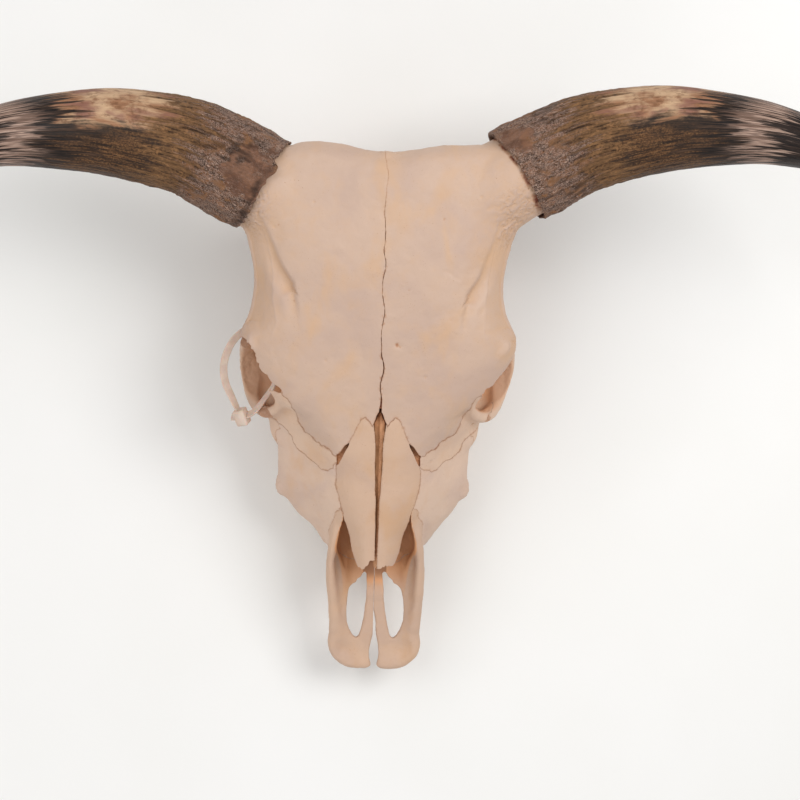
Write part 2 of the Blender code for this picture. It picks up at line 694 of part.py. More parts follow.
def finish(obj, colour, rough):
    material = bpy.data.materials.new(obj.name)
    material.use_nodes = True
    shader = material.node_tree.nodes["Principled BSDF"]
    shader.inputs["Base Color"].default_value = (*colour, 1)
    shader.inputs["Roughness"].default_value = rough
    shader.inputs["Metallic"].default_value = 0
    obj.data.materials.clear()
    obj.data.materials.append(material)
    obj.data.transform(Matrix.Translation((0, SHIFT_Y * MM, 0)))
    obj.data.shade_smooth()
    obj.data.set_sharp_from_angle(angle=math.radians(CORNER_ANGLE))


BONE = (0.72, 0.54, 0.40)
HORN_BROWN = (0.10, 0.06, 0.04)
NYLON = (0.80, 0.77, 0.70)


def main():
    for old in list(bpy.data.objects):
        bpy.data.objects.remove(old)
    head = half_head()
    bones, rest = part_bones(head)
    for row in TEETH:
        combine(bones["maxilla"], tooth(*row), "UNION", "MANIFOLD")
    bones["nasal"] = nasal("nasal")
    cranium = whole(rest, "cranium")
    ground = prism("ground", [(-FAR, -FAR), (FAR, -FAR), (FAR, FAR), (-FAR, FAR)], "Z", -60, 0)
    combine(cranium, ground, "DIFFERENCE", "MANIFOLD")
    largest(cranium)
    finish(cranium, BONE, 0.6)
    for name, bone in list(bones.items()):
        finish(reflect(copy(bone, name + "_left")), BONE, 0.6)
        bone.name = name + "_right"
        finish(bone, BONE, 0.6)
    finish(horn_sheath("horn_sheath_right"), HORN_BROWN, 0.5)
    finish(reflect(horn_sheath("horn_sheath_left", LEFT_DROOP)), HORN_BROWN, 0.5)
    finish(reflect(cable_tie("cable_tie")), NYLON, 0.35)


main()
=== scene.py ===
# %% [markdown]
# # A bull skull, lying on a pale floor
#
# The skull is made of bones that met along sutures while the animal grew, of two hollow horn sheaths that sit
# over bony cores, and of the cheek teeth. Each bone stays a piece of its own here, so that a later scene can
# repaint or leave one out. First the packed model is loaded, because it says where every bone lies.

import math

import bmesh
import bpy
import numpy as np
from mathutils import Matrix, Quaternion, Vector


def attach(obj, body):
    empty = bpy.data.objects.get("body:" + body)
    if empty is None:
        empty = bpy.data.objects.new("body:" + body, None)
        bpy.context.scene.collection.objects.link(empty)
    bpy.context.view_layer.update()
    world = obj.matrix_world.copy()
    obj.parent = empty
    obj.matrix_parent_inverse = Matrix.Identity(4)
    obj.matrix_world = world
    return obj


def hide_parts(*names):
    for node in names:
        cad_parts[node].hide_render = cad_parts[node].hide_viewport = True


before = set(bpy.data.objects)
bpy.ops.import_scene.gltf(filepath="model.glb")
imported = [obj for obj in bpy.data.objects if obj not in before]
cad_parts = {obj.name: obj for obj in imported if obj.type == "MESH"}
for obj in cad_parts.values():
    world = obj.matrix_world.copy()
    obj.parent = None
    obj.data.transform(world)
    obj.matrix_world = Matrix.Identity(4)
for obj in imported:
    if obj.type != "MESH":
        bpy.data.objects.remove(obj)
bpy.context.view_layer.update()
bpy.ops.object.select_all(action="DESELECT")

# %% [markdown]
# ## The view
#
# The skull was photographed from straight above its forehead, from a little under two metres away. A
# long lens on a camera that looks down gives the same picture. The small roll is the skull's own lean.

# %% Place the camera
MM = 0.001
SHIFT_Y = -8.0  # mm by which the packed skull is moved along Y, to centre it
CAMERA_AT = Vector((-0.035, SHIFT_Y * MM, 1.78))
CAMERA_AIM = Vector((0.0167, SHIFT_Y * MM, 0.18))
CAMERA_FIELD = math.radians(24.8)
CAMERA_ROLL = math.radians(1.3)

bpy.ops.object.camera_add(location=CAMERA_AT)
camera = bpy.context.object
camera.name = "camera"
camera.data.angle = CAMERA_FIELD
back = (CAMERA_AT - CAMERA_AIM).normalized()
across = Vector((0, 1, 0)).cross(back).normalized()
upright = Matrix((across, back.cross(across), back)).transposed().to_quaternion()
camera.rotation_mode = "QUATERNION"
camera.rotation_quaternion = upright @ Quaternion((0, 0, 1), CAMERA_ROLL)
bpy.context.scene.camera = camera
print("camera lens:", round(camera.data.lens, 1), "mm")

# %% [markdown]
# ## Floor and light
#
# A wide pale floor and three big, soft lamps stand in for a photographer's light tent. The largest lamp
# hangs to the right and a little towards the poll, so that the grooves of the brow cast faint shade.

# %% Lay the floor and hang the lamps
bpy.ops.mesh.primitive_plane_add(size=8, location=(0, 0, 0))
floor = bpy.context.object
floor.name = "floor"


def lamp(name, place, aim, size, power, warmth=(1, 1, 1)):
    bpy.ops.object.light_add(type="AREA", location=place)
    light = bpy.context.object
    light.name = name
    light.data.size = size
    light.data.energy = power
    light.data.color = warmth
    light.rotation_mode = "QUATERNION"
    light.rotation_quaternion = (Vector(place) - Vector(aim)).to_track_quat("Z", "Y")


SKULL_MIDDLE = (0, 0, 0.15)
lamp("key", (1.0, 0.5, 1.7), SKULL_MIDDLE, 1.0, 19)
lamp("fill", (-1.1, 0.5, 1.9), SKULL_MIDDLE, 1.6, 12)
lamp("rim", (-0.9, -1.4, 1.2), SKULL_MIDDLE, 1.2, 6)
world = bpy.data.worlds.new("tent")
world.use_nodes = True
world.node_tree.nodes["Background"].inputs["Color"].default_value = (1, 1, 1, 1)
world.node_tree.nodes["Background"].inputs["Strength"].default_value = 0.5
bpy.context.scene.world = world
bpy.context.scene.view_settings.view_transform = "Standard"

# %% [markdown]
# ## Small tools
#
# By hand, a step is: pick an object, add a modifier, set it, apply it. These few helpers do just that,
# with Blender's own operators. Sizes below are written in millimetres, because a skull is measured so,
# and spot() turns a place into metres in the packed model's frame.

# %% Pick, apply, cut and mirror
def spot(place):
    return Vector((place[0], place[1] + SHIFT_Y, place[2])) * MM


def pick(*objects):
    bpy.ops.object.select_all(action="DESELECT")
    for obj in objects:
        obj.select_set(True)
    bpy.context.view_layer.objects.active = objects[0]
    return objects[0]


def applied(obj, kind, **settings):
    pick(obj)
    step = obj.modifiers.new(kind.lower(), kind)
    for key, value in settings.items():
        setattr(step, key, value)
    bpy.ops.object.modifier_apply(modifier=step.name)
    return obj


def cut(obj, tool, how="DIFFERENCE", solver="MANIFOLD"):
    applied(obj, "BOOLEAN", object=tool, operation=how, solver=solver)
    bpy.data.objects.remove(tool)
    return obj


def joined(name, objects):
    pick(*objects)
    bpy.ops.object.join()
    objects[0].name = name
    return objects[0]


def twin(obj, name):
    pick(obj)
    bpy.ops.object.duplicate()
    bpy.context.object.name = name
    return bpy.context.object


def flipped(obj):
    """Turns a piece of the right side into one of the left."""
    obj.data.transform(Matrix.Scale(-1, 4, (1, 0, 0)))
    obj.data.flip_normals()
    return obj


def settled(obj):
    """Moves an object's place into its mesh."""
    pick(obj)
    bpy.ops.object.transform_apply(location=True, rotation=True, scale=True)
    return obj


def on_side(obj, side):
    """A piece made for the right side, turned into one of the left where side is -1."""
    return obj if side > 0 else flipped(obj)


SIDES = (("right", 1), ("left", -1))
print("one mm is", MM, "m, and Y is shifted by", SHIFT_Y, "mm")

# %% [markdown]
# A bone is measured at a few stations along its length. Between these a smooth curve fills in the rest,
# so that a few rows of numbers describe a long shape. spline() reads one or more values between stations,
# stations() reads a whole table at even steps, and through() draws a path out to any number of points.

# %% Curves through measured points
def spline(knots, values, at):
    order = np.argsort(knots)
    knots, values = np.asarray(knots, float)[order], np.asarray(values, float)[order]
    at = np.clip(np.asarray(at, float), knots[0], knots[-1])
    slope = np.gradient(values, knots, axis=0)
    i = np.clip(np.searchsorted(knots, at) - 1, 0, len(knots) - 2)
    step = knots[i + 1] - knots[i]
    t = (at - knots[i]) / step
    if values.ndim > 1:
        step, t = step[:, None], t[:, None]
    return (
        (1 + 2 * t) * (1 - t) ** 2 * values[i]
        + t * (1 - t) ** 2 * step * slope[i]
        + t * t * (3 - 2 * t) * values[i + 1]
        - t * t * (1 - t) * step * slope[i + 1]
    )


def rows_at(table, at):
    """Rows of a table, read between its stations, which its first column holds."""
    table = np.asarray(table, float)
    return spline(table[:, 0], table[:, 1:], at)


def stations(table, count):
    """Even steps from the table's last station to its first, each with the row read there."""
    at = np.linspace(table[-1][0], table[0][0], count)
    return zip(at, rows_at(table, at))


def through(points, count, closed=False):
    p = np.asarray(points, float)
    if closed:
        p = np.vstack([p[-2:], p, p[:3]])
    along = np.concatenate([[0], np.cumsum(np.sqrt(np.linalg.norm(np.diff(p, axis=0), axis=1)))])
    start, end = (along[2], along[-3]) if closed else (along[0], along[-1])
    return spline(along, p, np.linspace(start, end, count, endpoint=not closed))


def unit(rows):
    """Each row as a direction of length 1."""
    return rows / np.linalg.norm(rows, axis=-1, keepdims=True)


def circle(count):
    turn = 2 * math.pi * np.arange(count) / count
    return np.cos(turn), np.sin(turn)


print("a corner drawn out to a curve:", through([(0, 0), (10, 0), (10, 10)], 4).round(1).tolist())

# %% [markdown]
# Most pieces are then lofted: a ring of points is laid at each station, and each ring is joined to the next
# by a strip of faces, as when a hull is planked over its frames. A rod is a loft of ovals along a path, an
# egg is Blender's own ball, stretched, and a prism is an outline drawn out straight, mostly as a cutter.

# %% Rings of points joined into a skin
def loft(name, rings, closed=False, laddered=False):
    bm = bmesh.new()
    loops = [[bm.verts.new(spot(p)) for p in ring] for ring in rings]
    for a, b in zip(loops, loops[1:] + (loops[:1] if closed else [])):
        for k in range(len(a)):
            n = (k + 1) % len(a)
            bm.faces.new((a[k], a[n], b[n], b[k]))
    for end in [] if closed else (loops[0], loops[-1]):
        if laddered:
            for k in range(len(end) // 2 - 1):
                bm.faces.new((end[k], end[k + 1], end[-k - 2], end[-k - 1]))
        else:
            bm.faces.new(end)
    bmesh.ops.recalc_face_normals(bm, faces=bm.faces)
    mesh = bpy.data.meshes.new(name)
    bm.to_mesh(mesh)
    bm.free()
    obj = bpy.data.objects.new(name, mesh)
    bpy.context.scene.collection.objects.link(obj)
    return obj


UP = Vector((0, 0, 1))


def rod(name, rows, steps=32, sides=24):
    """A rod through rows of (x, y, z, half width, half height)."""
    smooth = through(rows, steps)
    cos, sin = circle(sides)
    rings = []
    for k, row in enumerate(smooth):
        along = Vector(smooth[min(k + 1, steps - 1), :3] - smooth[max(k - 1, 0), :3]).normalized()
        side = along.cross(UP).normalized()
        high = side.cross(along)
        centre, wide, tall = Vector(row[:3]), side * row[3], high * row[4]
        rings.append([centre + wide * c + tall * s for c, s in zip(cos, sin)])
    return loft(name, rings)


def egg(name, centre, half, turn=(0, 0, 0)):
    """A primitive ball, stretched and turned as by hand."""
    bpy.ops.mesh.primitive_uv_sphere_add(
        segments=32, ring_count=20, radius=MM, location=spot(centre), scale=half,
        rotation=[math.radians(a) for a in turn],
    )
    ball = bpy.context.object
    ball.name = name
    return settled(ball)


def prism(name, outline, axis, low, high):
    if axis == "X":
        return loft(name, [[(d, a, b) for a, b in outline] for d in (low, high)])
    return loft(name, [[(a, b, d) for a, b in outline] for d in (low, high)])


print("up, as a rod sees it:", tuple(UP))

# %% [markdown]
# ## The head's blocks
#
# A sculptor blocks a head out before modelling it. The same is done here: the forehead and the face are
# lofted from their width and height at a row of stations, the braincase and the plate of the nape from
# outlines, and rods and eggs stand for arches, processes and swellings. The small parts are blocked out
# on the right side only, and the left mirrors it. The forehead comes first: a broad, nearly flat shield
# with a shallow dip in the middle of the poll.

# %% Block out the forehead
# (y, height at the midline, half width, drop of the edge, thickness at the edge)
FOREHEAD = (
    (217, 190, 80, 3, 24), (210, 199, 94, 4, 32), (194, 205, 108, 8, 38), (165, 204, 123, 18, 34),
    (140, 202, 117, 28, 22), (122, 199.5, 113, 30, 15), (106, 197, 111, 31, 13), (78, 191, 114.5, 31, 12),
    (57, 186, 123.5, 31, 11), (38, 180, 120.5, 28, 10), (17, 173, 106, 22, 11), (-2, 166, 89, 17, 12),
    (-20, 160, 62, 12, 10), (-34, 155, 44, 9, 8),
)
POLL_DIP = (8, 62)  # depth and half width of the dip in the middle of the poll
FOREHEAD_MIDDLE = 34  # thickness at the midline


def forehead():
    share = np.linspace(-1, 1, 40)
    deep, wide_dip = POLL_DIP
    rings = []
    for y, (top, wide, drop, edge) in stations(FOREHEAD, 70):
        upper = top - drop * (0.25 * share**2 + 0.75 * share**6)
        lower = upper - edge - (FOREHEAD_MIDDLE - edge) * (1 - share**2)
        x = wide * share
        away = np.sin(np.pi / 2 * np.clip(np.abs(x) / wide_dip, 0, 1)) ** 2
        rear = y + deep * away * np.clip((y - 150) / 60, 0, 1)
        rings.append(list(zip(x, rear, upper)) + list(zip(x[::-1], rear[::-1], lower[::-1])))
    return loft("forehead", rings, laddered=True)


blocks = [forehead()]
print("forehead:", len(blocks[0].data.vertices), "points")

# %% [markdown]
# The face narrows from the eyes to the muzzle. Its section is roughly a trapezium with rounded corners,
# which bulges at the cheek and is narrowest at the jaw's lower edge.

# %% Block out the face
# (y, roof height, roof edge x, z, cheek x, z, jaw x, z, floor height)
FACE = (
    (26, 165, 38, 158, 40, 120, 46, 66, 56), (8, 164, 52, 155, 56, 120, 62, 50, 50),
    (-16, 160, 60, 152, 90, 110, 68, 42, 46), (-40, 153, 40, 148, 89, 96, 67, 36, 46),
    (-62, 146, 39, 136, 87.5, 86, 65, 32, 47), (-84, 139, 37, 128, 85.5, 77, 61, 30, 48),
    (-104, 132, 31, 122, 74, 70, 56, 30, 50), (-122, 125, 27, 113, 57.5, 64, 50, 34, 52),
    (-138, 119, 23, 107, 44, 62, 43, 40, 54),
)


def face():
    rings = []
    for y, (top, rx, rz, cx, cz, jx, jz, low) in stations(FACE, 60):
        half = [
            (0.55 * rx, top - 0.25 * (top - rz)), (rx, rz), ((rx + cx) / 2, (rz + cz) / 2 + 3), (cx, cz),
            ((cx + jx) / 2 + 3, (cz + jz) / 2), (jx, jz), (0.8 * jx, low - 6), (0.5 * jx, low),
        ]
        outline = [(0, top)] + half + [(0, low)] + [(-x, z) for x, z in half[::-1]]
        rings.append([(x, y, z) for x, z in through(outline, 72, closed=True)])
    return loft("face", rings)


blocks.append(face())
print("face:", len(blocks[-1].data.vertices), "points")

# %% [markdown]
# Behind the eyes the skull is a box for the brain, small in a bull, closed at the back by the plate of the
# nape, where the neck's muscles take hold.

# %% Block out the braincase and the nape
# (y, centre height, half width, half height)
BRAINCASE = (
    (190, 116, 74, 56), (170, 118, 74, 54), (140, 121, 66, 50), (100, 121, 58, 48), (60, 120, 46, 46),
    (20, 118, 38, 44),
)
# Outline of the nape plate, right half, (x, z), and the height that it shrinks towards
NAPE = (
    (0, 200), (55, 198), (86, 186), (90, 160), (97, 130), (110, 104),
    (108, 84), (88, 72), (60, 56), (26, 44), (0, 42),
)
NAPE_CENTRE = 120
NAPE_STEPS = ((164, 0.86), (172, 0.97), (182, 1.0), (190, 0.98), (197, 0.88))


def braincase():
    cos, sin = circle(64)
    rings = []
    for y, (centre, wide, high) in stations(BRAINCASE, 30):
        x = wide * np.sign(cos) * np.abs(cos) ** 0.85
        z = centre + high * np.sign(sin) * np.abs(sin) ** 0.85
        rings.append([(a, y, b) for a, b in zip(x, z)])
    return loft("braincase", rings)


def nape():
    outline = list(NAPE) + [(-x, z) for x, z in NAPE[-2:0:-1]]
    ring = through(outline, 72, closed=True)
    rings = [[(x * k, y, NAPE_CENTRE + (z - NAPE_CENTRE) * k) for x, z in ring] for y, k in NAPE_STEPS]
    return loft("nape", rings)


blocks += [braincase(), nape()]
print("braincase and nape:", [len(block.data.vertices) for block in blocks[-2:]], "points")

# %% [markdown]
# A closed ring of bone frames each eye. It leans outwards and isn't a true circle, so its section is swept
# round a measured loop of points. The muzzle ends in two flat plates, one at each side.

# %% Block out the eye's ring and the muzzle's tip
# Middle of the bony ring round the eye, then half its thickness outwards and inwards
EYE_RING = (
    (113.5, 49.5, 150, 6, 7), (118, 50.5, 128, 6, 7), (120, 44, 106, 6, 8), (118, 22, 97, 6, 8),
    (110.5, -4, 101, 6, 7), (98, -14, 118, 6, 7), (86, -6, 137, 5, 6), (91, 12, 152, 4, 5),
    (105, 36, 158, 4, 5),
)
# The flat plate at each side of the muzzle's tip, from above, (x, y). It slopes down by 1 in 8.
TIP_PLATE = (
    (2, -212), (12, -215), (30, -214), (42.5, -212), (43.3, -224), (42, -236), (38.5, -246), (31, -253),
    (20, -256), (8, -256.5), (3, -255), (1.5, -240), (0.5, -226),
)


def eye_ring():
    ring = through(EYE_RING, 60, closed=True)
    line = ring[:, :3]
    middle = Vector(line.mean(axis=0))
    cos, sin = circle(20)
    rings = []
    for k, p in enumerate(line):
        along = Vector(line[(k + 1) % 60] - line[k - 1]).normalized()
        out = Vector(p) - middle
        out = (out - along * out.dot(along)).normalized()
        deep = along.cross(out)
        wide, thick = ring[k, 3:]
        rings.append([Vector(p) + out * wide * c + deep * thick * s for c, s in zip(cos, sin)])
    return loft("eye_ring", rings, closed=True)


def tip_plate():
    drop = [(y + 212) / 8 for _, y in TIP_PLATE]
    low, high = [[(x, y, z + d) for (x, y), d in zip(TIP_PLATE, drop)] for z in (48, 56)]
    return loft("tip_plate", [low, high])


blocks += [eye_ring(), tip_plate()]
print("eye ring and muzzle tip:", [len(block.data.vertices) for block in blocks[-2:]], "points")

# %% [markdown]
# What is left is bars, arches, processes, roots of the horns and swellings. Each is a rod through a few
# measured ovals, or an egg.

# %% Add the rods and eggs of bone
CORE_RADIUS = 40.5  # of the bony core that a horn sheath sits on, mm
# Rods, mm: name, then rows of (x, y, z, half width, half height)
RODS = (
    ("eye_bar", (109, 49.5, 166, 9, 8), (114.5, 49.5, 140, 7, 7), (117, 51, 112, 8, 8)),
    ("eye_floor", (84, -16, 96, 12, 7), (98, 8, 89, 18, 5), (102, 32, 90, 18, 5), (109, 52, 98, 10, 6)),
    ("cheek_arch", (120, 44, 104, 7, 11), (111, 74, 109, 6, 10), (103, 108, 111, 7, 9),
     (98, 138, 106, 10, 12), (84, 158, 104, 14, 18)),
    ("horn_root", (60, 168, 166, 44, 34), (84, 179, 166, 43.5, 38), (99, 187, 167, 42, 40.5),
     (111, 193.5, 168, CORE_RADIUS, CORE_RADIUS), (131, 204.5, 168, CORE_RADIUS, CORE_RADIUS)),
    ("jugular", (66, 176, 84, 16, 12), (72, 170, 56, 11, 9), (70, 162, 26, 8, 7), (66, 156, -3, 5, 4)),
    ("ear", (56, 140, 84, 14, 14), (78, 146, 84, 12, 11), (98, 150, 88, 10, 9)),
    ("pterygoid", (22, 0, 74, 3.5, 26), (22, 40, 70, 3.5, 34), (25, 84, 78, 4, 22)),
    ("tooth_bed", (41, -138, 44, 6.5, 11), (52, -100, 42, 11, 14), (57, -50, 38, 13, 16),
     (56, 2, 38, 12, 16)),
    ("muzzle_side", (34, -104, 104, 5, 12), (38, -126, 97, 5, 10), (41.5, -150, 86, 4.5, 9),
     (40.5, -180, 73, 5.5, 7.5), (37.8, -205, 63, 6.5, 6), (35, -228, 54, 8, 5)),
    ("muzzle_inner_side", (33, -150, 66, 8, 8), (33, -182, 62, 8, 5), (31, -210, 57, 7, 4),
     (28, -230, 52, 8, 4)),
    ("muzzle_bar", (5, -146, 60, 5.5, 3.5), (5, -180, 59, 5, 3.5), (6.5, -210, 55, 6.5, 3.5),
     (10, -228, 51, 8, 4)),
    ("tip_lip", (7, -251.5, 49, 4.5, 5), (20, -251, 48.5, 4.5, 5), (31, -247, 49.5, 4.5, 5),
     (38.5, -238, 52, 5, 5), (39.5, -224, 56, 5, 5)),
    ("muzzle_floor", (38, -120, 66, 10, 16), (35, -145, 62, 8, 14), (33, -172, 60, 5, 8)),
    ("skull_base", (0, 80, 84, 18, 12), (0, 130, 70, 20, 13), (0, 182, 52, 24, 12)),
    ("palate", (0, -186, 60, 32, 3.2), (0, -150, 58, 34, 4), (0, -120, 56, 36, 5), (0, -40, 54, 48, 6),
     (0, 14, 60, 40, 8)),
)
# Eggs, mm: name, centre, half sizes, turn in degrees
EGGS = (
    ("poll_boss", (0, 212, 192), (10, 6, 8), (0, 0, 0)),
    ("cheek", (82, -20, 99), (15, 27, 13), (0, 20, 0)),
    ("tear_bulla", (72, 10, 84), (22, 30, 14), (0, 0, 0)),
    ("cheek_tuber", (83, -80, 74), (7, 12, 8), (0, 0, 6)),
    ("nape_boss", (0, 195, 150), (13, 8, 20), (0, 0, 0)),
    ("jaw_tuber", (50, 6, 62), (20, 26, 26), (0, 0, 0)),
    ("condyle", (29, 188, 52), (19, 18, 27), (20, 0, -20)),
    ("ear_bulla", (50, 132, 62), (12, 22, 20), (0, 0, 0)),
)

blocks += [rod(name, rows) for name, *rows in RODS] + [egg(*row) for row in EGGS]
head = joined("head", blocks)
print("blocks:", len(RODS) + len(EGGS) + 6, "points:", len(head.data.vertices))

# %% [markdown]
# ## From blocks to bone
#
# Mirrored and fused by a voxel remesh, the blocks still meet in hard creases, which bone never has. So
# the fused skin is swollen by three millimetres, remeshed and shrunk back: outward curves return to where
# they were, while each crease stays filled with a soft fillet.

# %% Fuse and fillet the head
ROUGH_GRAIN = 2.0  # mm
FILLET = 3.0


def remeshed(obj, grain, softening):
    applied(obj, "REMESH", mode="VOXEL", voxel_size=grain * MM)
    return applied(obj, "SMOOTH", iterations=softening, factor=0.5) if softening else obj


applied(head, "MIRROR", use_mirror_merge=False)
remeshed(head, ROUGH_GRAIN, 4)
applied(head, "DISPLACE", strength=FILLET * MM, mid_level=0)
remeshed(head, ROUGH_GRAIN, 2)
applied(head, "DISPLACE", strength=-FILLET * MM, mid_level=0)
remeshed(head, ROUGH_GRAIN, 2)
print("fused head:", len(head.data.polygons), "faces")

# %% [markdown]
# A skull is full of openings: the nose, the eye sockets, the throat, the hole for the spinal cord, and
# small holes for vessels and nerves. They are modelled as solids too, fused, and cut out in one step.

# %% Hollow the head
HOLLOW_GRAIN = 1.1  # mm
# (y, half width at the roof, half width at the floor, roof height, floor height)
NOSE = (
    (-2, 8, 8, 120, 84), (-24, 20, 22, 146, 66), (-60, 32, 34, 150, 60), (-96, 30, 32, 170, 59),
    (-112, 30, 32, 190, 60), (-124, 33, 35, 190, 60), (-138, 36, 36, 190, 61), (-150, 37, 32, 190, 63),
    (-190, 36, 26, 190, 67),
)
# An egg for the hollow behind the eye, and rods for the passages, written like those of bone
EYE_HOLLOW = ("eye_hollow", (96, 23.5, 122), (54, 28, 28), (0, -6, -14))
PASSAGES = (
    ("throat", (0, -14, 74, 16, 12), (0, 20, 78, 18, 15), (0, 60, 74, 19, 17), (0, 90, 60, 19, 14)),
    ("spinal_hole", (0, 130, 72, 14, 13), (0, 165, 70, 17, 16), (0, 215, 62, 19, 18)),
    ("cheek_hole", (68, -114, 60, 4, 5), (56, -106, 63, 4, 4), (46, -96, 66, 3, 3)),
)
# The vessel hole of each brow. The left one lies a little nearer to the poll.
BROW_HOLES = (
    ("hole_right", (78, 82, 196, 1.5, 2.6), (76, 93, 184, 1.4, 2.4), (74, 104, 174, 1.2, 1.6)),
    ("hole_left", (-78, 89, 196, 1.5, 2.6), (-76, 100, 184, 1.4, 2.4), (-74, 111, 174, 1.2, 1.6)),
)
# The hole through each side of the muzzle, from above, (x, y)
MUZZLE_HOLE = (
    (7.4, -161), (9, -163.5), (11, -163), (12.6, -167.6), (16.4, -170), (17.8, -173.6), (21, -174.2),
    (24.6, -178.4), (26.6, -189), (27.2, -200), (26.4, -210), (24.2, -218), (20.6, -224), (17.2, -226.6),
    (14.6, -224), (12.4, -216), (10.4, -204), (8.4, -190), (7.6, -176),
)
MUZZLE_CUT = (20, 90)  # heights between which the muzzle is cut from above


def nose_hollow():
    rings = []
    for y, (wide_top, wide_floor, roof, low) in stations(NOSE, 40):
        half = [(wide_floor * 0.6, low), (wide_floor * 0.95, low + 5), (wide_floor, low + 14),
                (wide_top, roof - 16), (wide_top * 0.9, roof - 3), (wide_top * 0.5, roof)]
        outline = [(0, low)] + half + [(0, roof)] + [(-x, z) for x, z in half[::-1]]
        rings.append([(x, y, z) for x, z in outline])
    return loft("nose_hollow", rings)


hollows = [nose_hollow(), egg(*EYE_HOLLOW), prism("muzzle_hole", MUZZLE_HOLE, "Z", *MUZZLE_CUT)]
hollows += [rod(name, rows, 24, 16) for name, *rows in PASSAGES]
hollow = applied(joined("hollow", hollows), "MIRROR", use_mirror_merge=False)
hollow = joined("hollow", [hollow] + [rod(name, rows, 24, 16) for name, *rows in BROW_HOLES])
remeshed(hollow, HOLLOW_GRAIN, 1)
cut(head, hollow)
print("hollowed head:", len(head.data.polygons), "faces")

# %% [markdown]
# ## Carving the surface
#
# A remeshed skin is an even cloth of small squares, which can be carved: each point moves a little along
# its own normal. Numpy reads all the points of a mesh at once, changes them and writes them back.

# %% Read and move the points of a skin
def read(items, what, width, kind=np.float32):
    flat = np.empty(len(items) * width, kind)
    items.foreach_get(what, flat)
    return flat.reshape(-1, width)


def points_of(obj):
    return read(obj.data.vertices, "co", 3) / MM - (0, SHIFT_Y, 0)


def normals_of(obj):
    return read(obj.data.vertex_normals, "vector", 3).astype(float)


def moved(obj, points):
    flat = ((points + (0, SHIFT_Y, 0)) * MM).astype(np.float32).ravel()
    obj.data.vertices.foreach_set("co", flat)
    obj.data.update()


print("height of the head:", round(float(np.ptp(points_of(head)[:, 2])), 1), "mm")

# %% [markdown]
# A field of soft random lumps keeps the two sides from being exact mirrors of each other, as on any animal.
# Its seed is fixed, so that each run gives the same bone.

# %% Make random lumps
TILT = np.array(Matrix.Rotation(0.6, 3, "X") @ Matrix.Rotation(0.9, 3, "Y") @ Matrix.Rotation(0.4, 3, "Z"))


def lumps(p, size, seed):
    """A smooth random field from about -1 to 1, whose lumps are about size mm across. Each corner of a
    tilted lattice has a random slope, and a point takes a blend of the slopes of the eight round it."""
    slopes = np.random.default_rng(seed).normal(0, 1, (16, 16, 16, 3))
    q = np.asarray(p, float) @ TILT / size
    low = np.floor(q).astype(int)
    f = q - low
    near = f * f * f * (f * (6 * f - 15) + 10)
    total = np.zeros(len(q))
    for corner in np.ndindex(2, 2, 2):
        share = np.prod(np.where(corner, near, 1 - near), axis=1)
        at = (low + corner) % 16
        total += share * np.sum(slopes[at[:, 0], at[:, 1], at[:, 2]] * (f - corner), axis=1)
    return np.clip(1.3 * total, -1, 1)


print("lumps at three places:", lumps(np.eye(3) * 30, 20, 1).round(2).tolist())

# %% [markdown]
# Two more measures guide the carving: a soft ramp from 0 to 1, and the distance of every point from a path,
# which places grooves and ridges.

# %% Ramps and distances
def ramp(value, low, high):
    """0 below low, 1 above high, smooth between."""
    t = np.clip((value - low) / (high - low), 0, 1)
    return t * t * (3 - 2 * t)


def nearest(p, path, reach, closed=False):
    """Distance of points from a path, the share of the way along it, and the side that they lie on.
    Points further off than reach keep a large distance."""
    path = np.asarray(path, float)
    ends = np.roll(path, -1, axis=0) if closed else path[1:]
    count = len(ends)
    best, share, side = np.full(len(p), 1e3), np.zeros(len(p)), np.zeros(len(p))
    for k in range(count):
        a, b = path[k], ends[k]
        low, high = np.minimum(a, b) - reach, np.maximum(a, b) + reach
        near = np.flatnonzero(np.all((p >= low) & (p <= high), axis=1))
        if not len(near):
            continue
        run = b - a
        t = np.clip((p[near] - a) @ run / (run @ run), 0, 1)
        gap = p[near] - (a + t[:, None] * run)
        d = np.linalg.norm(gap, axis=1)
        closer = d < best[near]
        won = near[closer]
        best[won] = d[closer]
        share[won] = (k + t[closer]) / count
        side[won] = np.sign(run[0] * gap[closer, 1] - run[1] * gap[closer, 0])
    return best, share, side


print("a ramp from 0 to 10 at 2, 5 and 8:", ramp(np.array([2, 5, 8]), 0, 10).round(2).tolist())

# %% [markdown]
# A bull's brow carries a vessel groove on each side, which ends in a hole, and a step where the temple
# begins. The cheek, palate and nape have ridges and hollows where muscles sat. They are listed by their
# place, so that each can be moved or deepened on its own.

# %% Where the brow, cheek, palate and nape are carved, mm
# Seen from above: path, width towards the middle, width towards the side, depth at its start and end
GROOVES = (
    (((108, 162), (99, 134), (89, 112), (78, 95)), 3.6, 15, 0.9, 6.2),
    (((79, 98), (77, 88), (74, 76), (72, 54)), 4.4, 10, 4.6, 0.2),
    (((3, -18), (2, 12), (1, 60)), 9, 9, 1.3, 0.0),
)
# A fall towards the side: path, how far it goes on falling, how deep
STEPS = (
    (((128, 172), (104, 146), (95, 108), (92, 62), (101, 44)), 18, 2.6),
)
